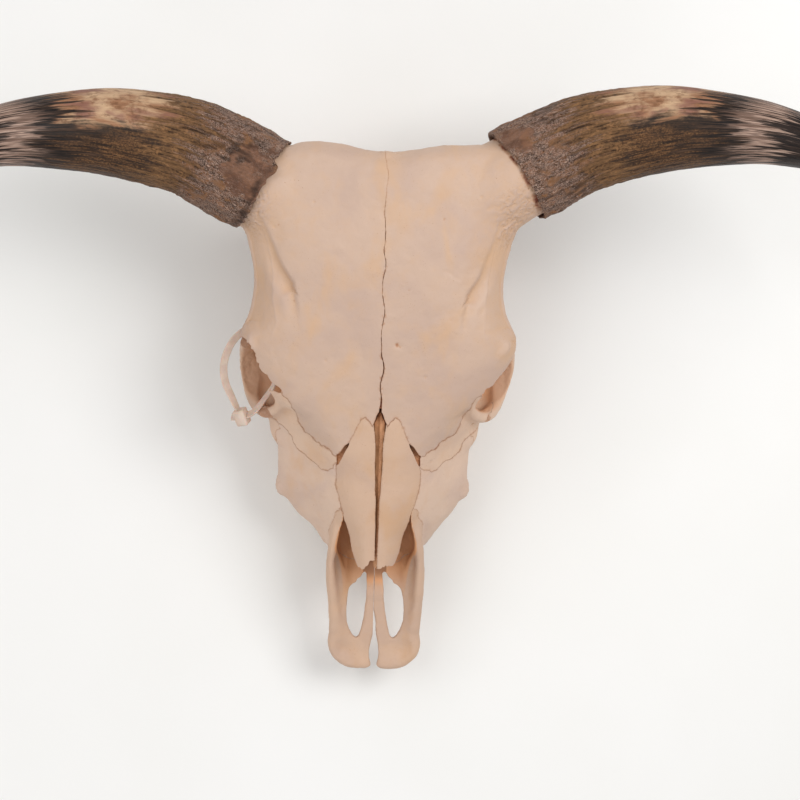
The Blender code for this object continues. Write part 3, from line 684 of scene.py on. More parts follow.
# Dents and bosses: place, radius, how far in (-) or out (+)
DENTS = (
    ((36, 52, 190), 42, -1.6), ((58, 128, 200), 34, 1.2), ((0, 176, 208), 26, 1.0),
    ((14, -18, 162), 12, -0.8), ((25, 196, 128), 17, -3.5), ((58, 190, 150), 20, -2.5),
    ((30, 205, 178), 18, 1.5), ((78, -52, 112), 18, -2.2), ((64, -96, 92), 14, -1.4),
    ((70, -30, 66), 18, -1.5), ((98, -2, 92), 10, 1.0), ((12, -60, 47), 10, 0.8),
    ((26, -20, 48), 9, -1.6), ((34, -10, 48), 4, -3.0), ((36, -24, 48), 2.6, -2.5),
    ((16, -150, 54), 9, -1.2), ((46, 150, 60), 8, -2.5), ((20, 150, 56), 6, 1.6),
    ((52, 160, 66), 5, -3.5), ((88, 150, 128), 9, -2.0), ((104, 176, 118), 6, 1.6),
    ((22, -236, 53), 11, -1.4), ((36, -190, 70), 9, -0.8), ((24, -252, 50), 7, 0.8),
    ((40, -214, 62), 6, 0.9), ((97, -11, 120), 2.4, -2.0), ((90, -20, 116), 2.6, -1.6),
    ((103, -6, 114), 2.2, -1.6), ((84, -34, 106), 3, -1.2), ((60, -48, 132), 2.4, -1.1),
    ((47, -56, 132), 2.4, -1.1),
)
# Rough bone: place, radius that is wholly rough, reach beyond it, height of the lumps, their size
ROUGH = (
    ((119, 170, 197), 12, 20, 0.8, 2.8), ((112, 150, 178), 8, 14, 0.7, 2.8), ((0, 212, 186), 8, 14, 0.3, 5.0),
    ((40, 200, 150), 20, 26, 0.7, 8.0), ((120, 56, 148), 9, 9, 0.5, 4.0), ((120, 40, 100), 12, 20, 0.35, 5.0),
    ((29, 188, 40), 14, 10, 0.15, 4.0), ((86, -79, 72), 8, 8, 0.4, 3.5), ((24, -248, 48), 12, 8, 0.2, 4.0),
    ((84, 150, 90), 24, 16, 0.7, 6.0),
)
# Nape line, and ridges of the cheek: path in space, half width, height
RIDGES = (
    (((0, 200, 164), (24, 203, 170), (52, 203, 166), (82, 198, 150), (96, 188, 128)), 5, 2.2),
    (((0, 203, 164), (0, 204, 140), (0, 200, 108)), 5, 2.0),
    (((86, -84, 74), (93, -58, 86), (101, -34, 96), (108, -12, 94), (116, 18, 88)), 6, 1.6),
    (((120, 58, 108), (113, 84, 114), (104, 112, 118)), 3.5, 1.2),
    (((0, -150, 49), (0, -60, 43), (0, 8, 48)), 2, 0.5),
)
# Small pits of the brow, seen from above and not mirrored: (x, y), radius, depth
PITS = (
    ((13, 48), 1.8, 1.6), ((15.5, 46.6), 1.4, 1.2), ((-49.5, 33), 1.3, 1.0), ((39, 20.5), 1.4, 1.2),
    ((-78, 85), 1.6, 1.2), ((22, 96), 1.2, 0.7), ((-62, 170), 1.3, 0.9), ((51, 158), 1.3, 0.8),
    ((-20, 131), 1.2, 0.6), ((60, 71), 1.2, 0.7), ((-31, 12), 1.2, 0.6), ((84, 176), 1.4, 0.9),
    ((-93, 150), 1.4, 0.8),
)
# Fine vessel lines of the brow: path seen from above, half width, depth
VESSELS = (
    (((54, 113), (60, 110.5), (63, 108), (67, 107)), 1.6, 0.5),
    (((84, 128), (87, 124), (93, 123)), 1.6, 0.45),
    (((92, 165), (97, 167), (101, 165.5)), 1.7, 0.5),
    (((-101, 158), (-108, 152)), 1.7, 0.5),
    (((-18, 42), (-16, 30), (-19, 22)), 1.6, 0.3),
)
# Tooth, front and rear y, middle x, width, height of its worn face
CHEEK_TEETH = (
    ("P2", -138, -123, 41, 12, 12), ("P3", -122, -104, 45, 15, 8.5), ("P4", -103, -85, 49, 17, 5),
    ("M1", -84, -61, 53, 21, 2), ("M2", -60, -34, 55.5, 23, 0), ("M3", -33, -4, 56, 23, 0),
)

print("places carved:", len(GROOVES + STEPS + DENTS + ROUGH + RIDGES + PITS + VESSELS + CHEEK_TEETH))

# %% [markdown]
# Every point adds up what the tables say about its place. Grooves, pits and vessel lines sink straight down
# and don't add up where they cross, while the rest moves along the normal. Last, the whole leans a little.

# %% Work out how far each point moves
def height_of(p, n):
    """How far each point of the bare head moves along its normal, and how far it sinks, mm."""
    q = p.copy()
    q[:, 0] = np.abs(p[:, 0])
    q[:, 1] += np.where(p[:, 0] < 0, -4, 3) * ramp(p[:, 2], 170, 180) * ramp(p[:, 1], 30, 60)
    drift = np.stack([lumps(p, 45, 3), lumps(p, 45, 4), np.zeros(len(p))], axis=1)
    q += 1.6 * drift * ramp(q[:, :1], 6, 30)
    up = ramp(n[:, 2], 0.1, 0.5) * ramp(p[:, 2], 120, 140)
    total = 0.4 * lumps(p, 24, 5) + 0.24 * lumps(p, 9, 6) + 0.1 * lumps(p, 3.2, 7)
    sunk = np.zeros(len(p))
    for path, inner, outer, start, end in GROOVES:
        d, share, side = nearest(q[:, :2], path, outer + 4)
        wide = np.where(side > 0, outer, inner)
        depth = (start + (end - start) * share) * ramp(share, -0.2, 0.2) * (1 - ramp(d, 0, wide))
        sunk = np.maximum(sunk, depth)
    for (x, y), radius, depth in PITS:
        sunk = np.maximum(sunk, depth * np.exp(-(np.hypot(p[:, 0] - x, p[:, 1] - y) / radius) ** 2))
    for path, wide, depth in VESSELS:
        d, _, _ = nearest(p[:, :2], path, 5)
        sunk = np.maximum(sunk, depth * np.exp(-((d / wide) ** 2)))
    sunk *= ramp(p[:, 2], 146, 158)
    for path, fall, deep in STEPS:
        d, share, side = nearest(q[:, :2], path, 60)
        fade = ramp(share, 0, 0.2) * ramp(1 - share, 0, 0.25)
        total -= up * fade * np.where(side > 0, deep * ramp(d, 0, fall), -0.4 * (1 - ramp(d, 0, 5)))
    for place, radius, amount in DENTS:
        total += amount * np.exp(-(np.linalg.norm(q - place, axis=1) / radius) ** 2 * 1.5)
    for place, radius, reach, height, size in ROUGH:
        share = 1 - ramp(np.linalg.norm(q - place, axis=1), radius, radius + reach)
        near = np.flatnonzero(share > 0)
        grain = 0.7 * lumps(p[near], size, 11) + 0.5 * lumps(p[near], size / 1.8, 12)
        pits = ramp(lumps(p[near], size / 1.5, 13), 0.25, 0.7)
        total[near] += height * share[near] * (grain - 0.8 * pits)
    for path, wide, tall in RIDGES:
        d, _, _ = nearest(q, path, wide * 2)
        total += tall * (1 - ramp(d, 0, wide * 2))
    for _, front, rear, middle, width, _ in CHEEK_TEETH:
        outer, along = middle + width / 2, (front + rear) / 2
        root = ((outer, along, 26), (outer + 5, along, 62))
        d, share, _ = nearest(q, root, 9)
        total += 1.5 * (1 - share) * (1 - ramp(d, 2, 9))
    return total, sunk


# How far the horn cores lie back (+) or forward (-) of a true mirror line, mm
CORE_SWAY = {1: 3.5, -1: -5.5}


def leaned(p):
    """No skull is symmetric. The sides of this one lean a little to its left, and its left horn grew a
    little further forward."""
    away = np.abs(p[:, 0])
    new = p.copy()
    sideways = ramp(away, 45, 92) * ramp(p[:, 1], -160, -124) * ramp(p[:, 2], 40, 80)
    sideways *= 4 - 1.2 * ramp(p[:, 1], -10, 30) + 0.9 * ramp(p[:, 1], 60, 90)
    new[:, 0] -= sideways * (1 - ramp(p[:, 1], 150, 192))
    new[:, 0] += 1.4 * ramp(-p[:, 1], 150, 200)
    sway = np.where(p[:, 0] > 0, CORE_SWAY[1], CORE_SWAY[-1])
    new[:, 1] += sway * ramp(away, 62, 104) * ramp(p[:, 1], 135, 170)
    return new


def carved(obj):
    p, n = points_of(obj), normals_of(obj)
    height, sunk = height_of(p, n)
    new = p + n * height[:, None]
    new[:, 2] -= sunk
    moved(obj, leaned(new))
    print(obj.name, "carved:", len(p), "points, from", round(float(height.min()), 1), "to",
          round(float(height.max()), 1), "mm")
    return obj

# %% [markdown]
# ## Where bone is stained, and where shade is painted
#
# Cleaned bone is pale where it is smooth and open, and darker where fat, blood and dust stayed: along the
# sutures and round holes. In hollows the finish paints shade, warmer and darker, and on ridges a little
# painted light. Two numbers are kept for every point of the skin. "stain" says how near a suture or a hole it
# is, and a second one how much it lies in a hollow, found by smoothing the skin and seeing on which side of
# the smooth skin the point lies. The bone's finish reads both.

# %% Find the hollows of a skin
SMOOTHING = 0.6  # share of the way that a point goes towards the mean of its neighbours in each round


def ends_of_edges(obj):
    return read(obj.data.edges, "vertices", 2, np.int32).T


def dents_of(obj, rounds):
    """Height of a smoothed skin over each point, in mm. Above 0 in a hollow, below 0 on a ridge."""
    p, n = points_of(obj), normals_of(obj)
    a, b = ends_of_edges(obj)
    count = np.bincount(a, minlength=len(p)) + np.bincount(b, minlength=len(p))
    smooth = p.copy()
    for _ in range(rounds):
        for axis in range(3):
            column = smooth[:, axis]
            summed = np.bincount(a, column[b], len(p)) + np.bincount(b, column[a], len(p))
            smooth[:, axis] = (1 - SMOOTHING) * column + SMOOTHING * summed / np.maximum(count, 1)
    return np.sum((smooth - p) * n, axis=1)


def keep(obj, name, values):
    layer = obj.data.attributes.get(name) or obj.data.attributes.new(name, "FLOAT", "POINT")
    layer.data.foreach_set("value", np.asarray(values, np.float32))


def kept(obj, name):
    return read(obj.data.attributes[name].data, "value", 1)[:, 0]


deepest = dents_of(head, 4).max()
print("deepest hollow of the bare head, mm:", round(float(deepest), 1))

# %% [markdown]
# ## Parting the bones
#
# The sutures are the skull's own seams, and they were measured on the photograph from above and worked
# out from the species where the picture hides them. Each is a closed outline. It is broken into short
# runs that swing from side to side, drawn out into a cutter, and the bone inside it is cut free. Then the
# same cutter, a hair wider, clears the bone's place in what is left, so that a fine gap shows between.

# %% Suture lines that wander
def wander(count, seed):
    """A random walk that keeps coming back to nought."""
    steps = np.random.default_rng(seed).normal(0, 1, count + 8)
    return np.convolve(steps, (0.3, 0.6, 1.0, 0.6, -0.2, -0.5, -0.8, -0.5, -0.2), "valid")


def ragged(outline, amount, step, seed):
    """The outline in short runs that swing to either side. Long straight runs stay straight."""
    p = np.asarray(outline, float)
    swing = wander(4000, seed)
    points, k = [], 0
    for a, b in zip(p, np.roll(p, -1, axis=0)):
        run = b - a
        length = np.linalg.norm(run)
        count = max(1, int(round(length / step))) if length < 60 else 1
        aside = np.array([-run[1], run[0]]) / length
        for j in range(count):
            points.append(a + run * j / count + aside * amount * np.clip(swing[k], -1.6, 1.6) * (j > 0))
            k += 1
    return np.array(points)


def widened(outline, by):
    p = np.asarray(outline, float)
    before, after = p - np.roll(p, 1, axis=0), np.roll(p, -1, axis=0) - p
    area = 0.5 * np.sum(p[:, 0] * np.roll(p[:, 1], -1) - np.roll(p[:, 0], -1) * p[:, 1])
    n1, n2 = [unit(np.stack([run[:, 1], -run[:, 0]], axis=1)) for run in (before, after)]
    corner = (n1 + n2) / np.maximum(1 + np.sum(n1 * n2, axis=1), 0.45)[:, None]
    return p + np.sign(area) * by * corner


print("suture runs on a 30 mm side:", len(ragged([(0, 0), (30, 0), (30, 1)], 1, 2.5, 1)))

# %% [markdown]
# The two frontal bones make the brow. Their inner edges meet in a hairline, which opens towards the nose.
# A frontal is cut out by its outline from above, crossed with its outline from the side.

# %% The brow's outlines and cutter, mm
SUTURE_GAP = 0.14
FRONTAL_PLAN = (
    (170, 250), (170, 10), (108, 8), (88, 4.5), (79, -9), (73.8, -18.5), (67.5, -31), (60, -35.4),
    (53.8, -40.3), (47.5, -44.8), (42, -50), (37, -51.5), (30, -62), (1, -62),
)
# Seen from the side, (y, z)
FRONTAL_SIDE_INNER = (
    (-80, 118), (0, 118), (60, 122), (100, 140), (150, 150), (188, 158), (200, 176), (250, 182),
    (250, 280), (-80, 280),
)
FRONTAL_SIDE_OUTER = (
    (-80, 118), (0, 118), (56, 124), (100, 126), (150, 128), (172, 122), (205, 118), (250, 118),
    (250, 280), (-80, 280),
)
HAIRLINE_Y = np.linspace(246, -12, 130)
HAIRLINE = 0.55 * np.interp(HAIRLINE_Y, np.linspace(-20, 260, 60), wander(60, 21)) + 0.18 * wander(130, 22)
HAIRLINE *= np.clip((HAIRLINE_Y + 12) / 20, 0, 1)
HAIRLINE_GAP = 0.22 * np.clip(np.abs(wander(130, 23)) - 0.3, 0, 1)
HAIRLINE_GAP = 0.03 + HAIRLINE_GAP * np.clip((180 - HAIRLINE_Y) / 40, 0, 1)
HAIRLINE_GAP += (
    0.22 * np.clip((62 - HAIRLINE_Y) / 30, 0, 1) + 1.0 * np.clip((10 - HAIRLINE_Y) / 22, 0, 1) ** 2
)


def brow_plan(side, spare=0.0):
    """The frontal bone from above. Its inner edge is the hairline down the middle of the brow."""
    inner = [(side * x + gap - spare, y) for x, gap, y in zip(HAIRLINE, HAIRLINE_GAP, HAIRLINE_Y)]
    outer = ragged(FRONTAL_PLAN, 0.7, 2.6, 31 + side)
    return np.vstack([outer, inner[::-1]])


def frontal_cutter(side, by):
    plan = prism("plan", widened(brow_plan(side, 4 * (by > 0)), by), "Z", -50, 290)
    inner, outer = widened(FRONTAL_SIDE_INNER, by), widened(FRONTAL_SIDE_OUTER, by)
    steps = ((-2, inner), (62, inner), (84, outer), (200, outer))
    return cut(plan, loft("side", [[(x, y, z) for y, z in line] for x, line in steps]), "INTERSECT", "EXACT")


print("hairline of the brow: widest gap", round(2 * float(HAIRLINE_GAP.max()), 2), "mm")

# %% [markdown]
# The other bones are cut out by one outline each: the lacrimal from above, and the cheek bone, upper jaw,
# muzzle bone and palatine from the side. The nasal bones lie in an opening, which is cut out first.

# %% The outlines of the other bones, mm
# Opening that the nasal bones fill, seen from above, (x, y)
NASAL_PLAN = (
    (-1, -10), (1.9, -12), (5, -20), (6.6, -24.5), (9.5, -20), (13.5, -16), (17, -18), (19.7, -23.3),
    (24.7, -34), (27, -39), (33, -45), (38, -50.5), (37.5, -57), (38.3, -64), (38.3, -77), (34.8, -92),
    (31, -104), (30, -112), (33, -124), (36, -138), (36, -180), (-1, -180),
)
LACRIMAL_PLAN = (
    (99, 9), (88, 12), (40, -20), (30, -42), (36, -52), (37, -57), (41, -63), (48.6, -65), (54.9, -61),
    (65, -53.8), (76, -43), (82, -33), (91.4, -24), (98, -17), (103, -9), (104, 0),
)
ZYGOMATIC_SIDE = (
    (-8, 119), (-26, 113), (-40, 101), (-47, 90), (-40, 81), (-20, 77), (10, 76), (40, 84),
    (66, 94), (84, 98), (100, 112), (90, 121), (70, 126), (50, 128), (20, 130), (2, 128),
)
PREMAXILLA_SIDE = (
    (-94, 130), (-99, 123), (-107, 113), (-118, 99), (-130, 84), (-143, 70), (-156, 58), (-164, 46),
    (-168, 30), (-290, 30), (-290, 130),
)
PALATINE_SIDE = ((-22, 30), (-16, 84), (10, 88), (36, 86), (40, 30))
MAXILLA_SIDE = ((-300, -20), (-300, 200), (4, 200), (6, 130), (14, 104), (26, 96), (46, 72), (50, -20))
SWING, RUN = 0.8, 2.4  # how far a suture swings to either side, and how long its runs are
TEAR_SEED = 41


def nasal_seat(side):
    return ragged(NASAL_PLAN, 0.35, 2.5, 91 + side)


def outline_cutter(outline, axis, low, high, seed):
    def cutter(side, by):
        line = ragged(outline, SWING, RUN, seed + side)
        return prism("cutter", widened(line, by), axis, low - by, high + by)
    return cutter


BONES = (
    ("frontal", frontal_cutter),
    ("lacrimal", outline_cutter(LACRIMAL_PLAN, "Z", 104, 290, TEAR_SEED)),
    ("zygomatic", outline_cutter(ZYGOMATIC_SIDE, "X", 72, 200, 51)),
    ("premaxilla", outline_cutter(PREMAXILLA_SIDE, "X", 0.2, 200, 61)),
    ("palatine", outline_cutter(PALATINE_SIDE, "X", 0.2, 42, 71)),
    ("maxilla", outline_cutter(MAXILLA_SIDE, "X", 0.2, 200, 81)),
)

print("bones to part on each side:", [name for name, _ in BONES])

# %% [markdown]
# The horn sheaths come later, but bone inside their rims is darkened too, so the horns' line and rim are
# measured here. No two horns are alike: each has its own ragged rim and its own sweep.

# %% The horns' line and rim, mm
# Middle line of the right horn: (x, y, z, radius)
HORN = (
    (112, 194, 168, 46), (144, 212, 168, 44.8), (178, 226, 172, 42.5), (239, 235, 190, 38),
    (283, 233, 210, 32.5), (319, 227, 232, 27), (346, 218, 252, 22.5), (388, 196, 296, 15.5),
    (416, 170, 344, 8.5), (428, 146, 388, 1.8),
)
# How far back (+) or forward (-) each horn lies of a true mirror line: (share of the length, mm)
SWAY = {"right": ((0, 3.5), (0.32, 8), (1, 8)), "left": ((0, -5.5), (0.32, -8), (0.7, -13), (1, -22))}
# How far out from the root the rim lies, by angle round the horn: 0 faces back, 90 up and 180 forward
RIM = {
    "right": ((0, 3.4), (46, 3.4), (71, 5.6), (100, 6.6), (131, 6.8), (165, 7.5), (180, 9), (196, 7),
              (250, 5), (310, 4), (360, 3.4)),
    "left": ((0, -6), (30, -5.6), (54, -5.6), (62, -4.6), (67, -9.5), (74, -11.8), (79, -10.6), (86, -8),
             (98, -7.4), (127, -8.4), (147, -7.2), (165, -3.4), (176, 1), (190, 0), (250, -2), (310, -4),
             (360, -6)),
}


def mirrored(p):
    """The points with the left side folded over to the right."""
    return np.stack([np.abs(p[:, 0]), p[:, 1], p[:, 2]], axis=1)


def in_horn(p):
    """1 on the horn cores inside the sheaths' rims, fading out just beside them."""
    q = mirrored(p) - HORN[0][:3]
    aim = np.array(HORN[1][:3], float) - HORN[0][:3]
    aim /= np.linalg.norm(aim)
    s = q @ aim
    turn = np.degrees(np.arctan2(q[:, 2], q @ (-aim[1], aim[0], 0))) % 360
    rims = [np.interp(turn, *zip(*RIM[name])) for name, _ in SIDES]
    rim = np.where(p[:, 0] > 0, *rims)
    return ramp(s - rim, -2.6, 0.2) * (q[:, 0] > -60)


print("horn line: points", len(HORN), "- rim points", {name: len(rows) for name, rows in RIM.items()})

# %% [markdown]
# Each kind of mark is worked out on its own. Stain comes first. It follows the sutures and gathers round
# holes, broken and patchy.

# %% Mark stain
HOLE_STAINS = (((66, -113, 61), 6),)
TEAR_SLOPE = 0.5875  # of the line past which the lacrimal's outline runs along the brow's
SIDE_STAINS = ((ZYGOMATIC_SIDE, 72), (PREMAXILLA_SIDE, 26), (MAXILLA_SIDE, 26))  # outline, least x


def stain_of(p, n, side):
    q = mirrored(p)
    above = ramp(n[:, 2], -0.2, 0.2) * ramp(p[:, 2], 96, 104)
    lateral = ramp(q[:, 0], 20, 30)
    total = np.zeros(len(p))
    tear = ragged(LACRIMAL_PLAN, SWING, RUN, TEAR_SEED + side)
    tear = tear[tear[:, 1] < TEAR_SLOPE * (tear[:, 0] - 36) - 53]
    seat = nasal_seat(side)
    seat = seat[(seat[:, 1] > -114) & (seat[:, 0] > 1)]
    for plan, closed, dark in ((brow_plan(side), True, 0.62), (tear, False, 0.42), (seat, False, 0.5)):
        d, _, _ = nearest(q[:, :2], plan, 5, closed)
        line = above * (dark * np.exp(-((d / 0.6) ** 1.2)) + 0.15 * np.exp(-((d / 3) ** 2)))
        if dark > 0.6:
            middle = q[:, 0] < 12
            broken = (0.3 + 1.0 * ramp(lumps(p, 4, 16), -0.1, 0.3)) * (1 - 0.9 * ramp(p[:, 1], 160, 184))
            line *= np.where(middle, broken, ramp(p[:, 2], 118, 124))
        total = np.maximum(total, line)
    outwards = ramp(n[:, 0] * np.sign(p[:, 0]), 0.1, 0.3)
    for outline, low in SIDE_STAINS:
        d, _, _ = nearest(q[:, 1:], outline, 7, closed=True)
        d = np.where(q[:, 2] > 130, 9, d)
        total = np.maximum(total, 0.4 * outwards * lateral * (q[:, 0] > low) * np.exp(-((d / 0.9) ** 1.2)))
    for place, reach in HOLE_STAINS:
        d = np.linalg.norm(q - place, axis=1)
        total = np.maximum(total, np.exp(-((d / reach) ** 2)))
    for (x, y), radius, depth in PITS:
        spot_at = np.hypot(p[:, 0] - x, p[:, 1] - y) / radius
        total = np.maximum(total, above * 0.5 * depth * np.exp(-spot_at**2))
    # Darker at and just inside each sheath's rim.
    total = np.maximum(total, 0.8 * in_horn(p))
    patchy = 0.75 + 0.7 * lumps(p, 11, 14) + 0.3 * lumps(p, 3, 15)
    return np.clip(total * patchy, 0, 1)


print("stained outlines of a side:", 3 + len(SIDE_STAINS), "- stained pits:", len(PITS))

# %% [markdown]
# Next come rough bone and the deep inner walls, where an orange tone stands in for light shining through thin
# bone and a darker brown for shade. All marks are then kept on the points, where the bone's finish reads
# them.

# %% Mark rough bone and deep walls
def rough_of(p):
    """1 where the bone is rough."""
    q = mirrored(p)
    total = np.zeros(len(p))
    for place, radius, reach, height, _ in ROUGH:
        share = 1 - ramp(np.linalg.norm(q - place, axis=1), radius, radius + reach)
        total = np.maximum(total, share * min(1, height * 1.4))
    return total


def deep_of(p, n):
    """Painted orange light and shade: 0.6 on the inner walls of the nose, less in the throat, growing with
    depth in the eye sockets, and most on the tops of the muzzle bars.
    """
    q = mirrored(p)
    inwards = -n[:, 0] * np.sign(p[:, 0])
    wide_top, wide_floor, roof, low = rows_at(NOSE, p[:, 1]).T
    share = np.clip((q[:, 2] - low - 14) / (roof - 30 - low), 0, 1)
    wall = wide_floor + (wide_top - wide_floor) * share
    nose = ramp(wall + 3 - q[:, 0], 0, 2) * ramp(q[:, 1], -200, -142) * (1 - ramp(q[:, 1], -12, 2))
    nose *= ramp(q[:, 2], low - 12, low - 2) * (q[:, 2] < roof + 2)
    floor_part = (q[:, 2] < low + 9) * ramp(n[:, 2], 0.2, 0.6)
    nose *= np.maximum(np.maximum(ramp(inwards, 0.15, 0.5), floor_part), ramp(-n[:, 2], 0.3, 0.7))
    centre, half, _ = EYE_HOLLOW[1:]
    centre, half = np.array(centre), np.array(half)
    reach = np.linalg.norm((q - centre) / (half + 4), axis=1)
    folded = np.stack([-inwards, n[:, 1], n[:, 2]], axis=1)
    facing = np.sum((centre - q) / half * folded, axis=1)
    eye = (1 - ramp(reach, 0.97, 1.12)) * ramp(facing, 0, 0.4) * (0.26 + 0.34 * ramp(112 - q[:, 0], 0, 28))
    throat = (q[:, 0] < 20) * (p[:, 1] > -14) * (p[:, 1] < 215) * (p[:, 2] < 96) * (p[:, 2] > 58)
    bars = (q[:, 0] < 11) * (p[:, 2] < 74) * ramp(p[:, 1], -184, -160)
    bars = bars * ramp(-p[:, 1], 140, 146) * ramp(n[:, 2], 0, 0.5)
    deep = np.maximum(np.maximum(0.6 * nose, eye), 0.4 * throat * ramp(inwards, -0.3, 0.3))
    return np.clip(np.maximum(deep, 0.9 * bars), 0, 1)


def marked(obj, side, rounds):
    """Keeps what the finish reads on a skin, and marks all its points as skin, which a cut's new ones
    aren't."""
    p, n = points_of(obj), normals_of(obj)
    # Painted shade: the sides of the brow count as lying in a hollow, so the finish paints them warmer and
    # darker, as sides in shade.
    aside = 0.9 * ramp(np.abs(p[:, 0]), 45, 112) * ramp(p[:, 1], 20, 60)
    keep(obj, "relief_shading", np.clip(dents_of(obj, rounds) + aside, -4, 4))
    keep(obj, "stain", stain_of(p, n, side))
    keep(obj, "rough", rough_of(p))
    keep(obj, "deep", deep_of(p, n))
    keep(obj, "skin", np.ones(len(p)))
    return obj


def sealed(obj):
    """Stains the new walls that a cut left."""
    skin = kept(obj, "skin") > 0.5
    keep(obj, "stain", np.where(skin, kept(obj, "stain"), 0.5))
    return obj


print("marks kept on each point: dent, stain, rough, deep, skin")

# %% [markdown]
# A cut can leave crumbs, so only the largest body of each bone is kept. The thin edge of the brow over
# each eye is chipped, as it mostly is on a skull that has lain outdoors.

# %% Slabs, crumbs and the chipped edge of the brow
BEYOND = 300  # mm, further out than any bone reaches


def slab(axis, low, high):
    square = [(-BEYOND, -BEYOND), (BEYOND, -BEYOND), (BEYOND, BEYOND), (-BEYOND, BEYOND)]
    return prism("slab", square, axis, low, high)


def edited(obj, *steps, chosen=None):
    """Runs edit-mode operators on all of a mesh, or on its chosen points."""
    pick(obj)
    bpy.ops.object.mode_set(mode="EDIT")
    bpy.ops.mesh.select_mode(type="VERT")
    bpy.ops.mesh.select_all(action="SELECT" if chosen is None else "DESELECT")
    if chosen is not None:
        bpy.ops.object.mode_set(mode="OBJECT")
        obj.data.vertices.foreach_set("select", chosen)
        bpy.ops.object.mode_set(mode="EDIT")
    for operator, settings in steps:
        operator(**settings)
    bpy.ops.object.mode_set(mode="OBJECT")
    return obj


def largest(obj):
    """Leaves only the largest body. Joined points take on the lowest number among them."""
    a, b = ends_of_edges(obj)
    label = np.arange(len(obj.data.vertices))
    while True:
        low = np.minimum(label[a], label[b])
        new = label.copy()
        np.minimum.at(new, a, low)
        np.minimum.at(new, b, low)
        new = new[new]
        if np.array_equal(new, label):
            break
        label = new
    stray = label != np.bincount(label).argmax()
    return edited(obj, (bpy.ops.mesh.delete, {"type": "VERT"}), chosen=stray) if stray.any() else obj


# The thin edge of the brow over each eye, from above, (x, y). What lies outside it is broken off.
BROW_EDGE = {
    1: ((124.6, 53), (124, 48), (120.9, 41), (116.3, 35.5), (112.7, 28.2), (108.2, 24.7), (105.5, 20.1),
        (99.1, 13.9), (93, 8), (90, 3)),
    -1: ((123.5, 53), (120, 48), (116, 42.6), (112.2, 36.4), (108.6, 29.6), (103.4, 20.6), (97, 13),
         (91.6, 9.6), (88.6, 4)),
}
CLEAR_OF_BROW = ((96, -6), (150, -6), (150, 53))


def brow_edge_cutter(side):
    line = ragged(BROW_EDGE[side] + CLEAR_OF_BROW, 0.9, 1.9, 57 + side)
    line = line[(line[:, 1] > 3) & (line[:, 0] < 125)]
    return on_side(prism("brow_edge", np.vstack([line, CLEAR_OF_BROW]), "Z", 100, 220), side)


print("brow edge points:", {side: len(line) for side, line in BROW_EDGE.items()})

# %% [markdown]
# The head is cut in two a little past the middle. Each half is carved and marked, and its bones are cut
# free one by one.

# %% Cut the head in two, carve each half and part its bones
FINE_GRAIN = 1.25  # mm
PAST_MIDDLE = 3  # mm of the right side that each half reaches past the middle
# What lies on the middle's side of the right muzzle bone, from above, (x, y)
MUZZLE_SLIT = (
    (-10, -196), (-2.6, -196), (-0.6, -202), (0.4, -208), (1.1, -216), (2.2, -224), (3.7, -232), (4.5, -239),
    (4.2, -246), (3.0, -251), (2.6, -258), (2.6, -268), (-10, -268),
)
right = cut(twin(head, "half_right"), slab("X", -BEYOND, -PAST_MIDDLE))
cut(right, prism("muzzle_slit", MUZZLE_SLIT, "Z", *MUZZLE_CUT))
remeshed(right, FINE_GRAIN, 3)
halves = {"right": right, "left": flipped(twin(right, "half_left"))}
bones = {}
for side_name, side in SIDES:
    half = marked(carved(halves[side_name]), side, 30)
    cut(half, on_side(prism("seat", nasal_seat(side), "Z", 104, 300), side))
    for name, cutter in BONES:
        tool, clearing = cutter(side, 0), cutter(side, SUTURE_GAP)
        bone = cut(twin(half, "bone_" + side_name), on_side(tool, side), "INTERSECT")
        if name == "frontal":
            cut(bone, brow_edge_cutter(side))
        bones[name, side_name] = sealed(largest(bone))
        cut(half, on_side(clearing, side))
    bpy.data.objects.remove(half)
print("bones:", {name: len(bone.data.polygons) for (name, _), bone in bones.items()})

# %% [markdown]
# What the other bones leave over is the cranium. It crosses the middle, so it is carved whole, and the same
# cutters clear their bones' places in it.

# %% The cranium, in one piece
BASE_GRAIN = 1.8  # mm

remeshed(head, BASE_GRAIN, 2)
marked(carved(head), 1, 16)
for _, side in SIDES:
    for _, cutter in BONES:
        cut(head, on_side(cutter(side, SUTURE_GAP), side))
cut(head, slab("Z", -40, 0))
bones["cranium", ""] = sealed(largest(head))
print("cranium:", len(head.data.polygons), "faces")

# %% [markdown]
# Between the nasal bones a strip of bone shows, deep in the nose, its orange-brown tone painted light and
# shade over patchy stain. It is the upper edge of the thin wall that parts the nose in two. The wall is drawn
# from the side, thickened a little, roughened, and joined to the cranium that it grows from. Beside it, under
# each nasal bone, lies a scroll of thin bone. It shows through the gap where nasal, brow and lacrimal bone
# don't quite meet.

# %% Make the wall in the nose
# (y, top, bottom, half width of the top)
NOSE_WALL = (
    (-156, 96, 74, 1.2), (-152, 104, 68, 1.8), (-144, 110, 64, 2), (-125, 118, 62, 2.2),
    (-92, 130, 61, 2.6), (-64, 140, 62, 3.4), (-38, 148.5, 66, 4.2), (-21, 153, 70, 4.6),
    (-15, 152.5, 76, 2.2), (-10, 150, 82, 0.8), (-6, 140, 86, 0.7), (4, 118, 96, 1), (24, 113, 100, 1.3),
)


def evenly_marked(obj, stain, rough):
    """Keeps the same marks on all of a small piece that lies deep in the skull, among them painted orange
    light and shade.
    """
    for name, value in (("relief_shading", 0), ("stain", stain), ("rough", rough), ("deep", 0.6), ("skin", 1)):
        keep(obj, name, np.full(len(obj.data.vertices), value))
    return obj


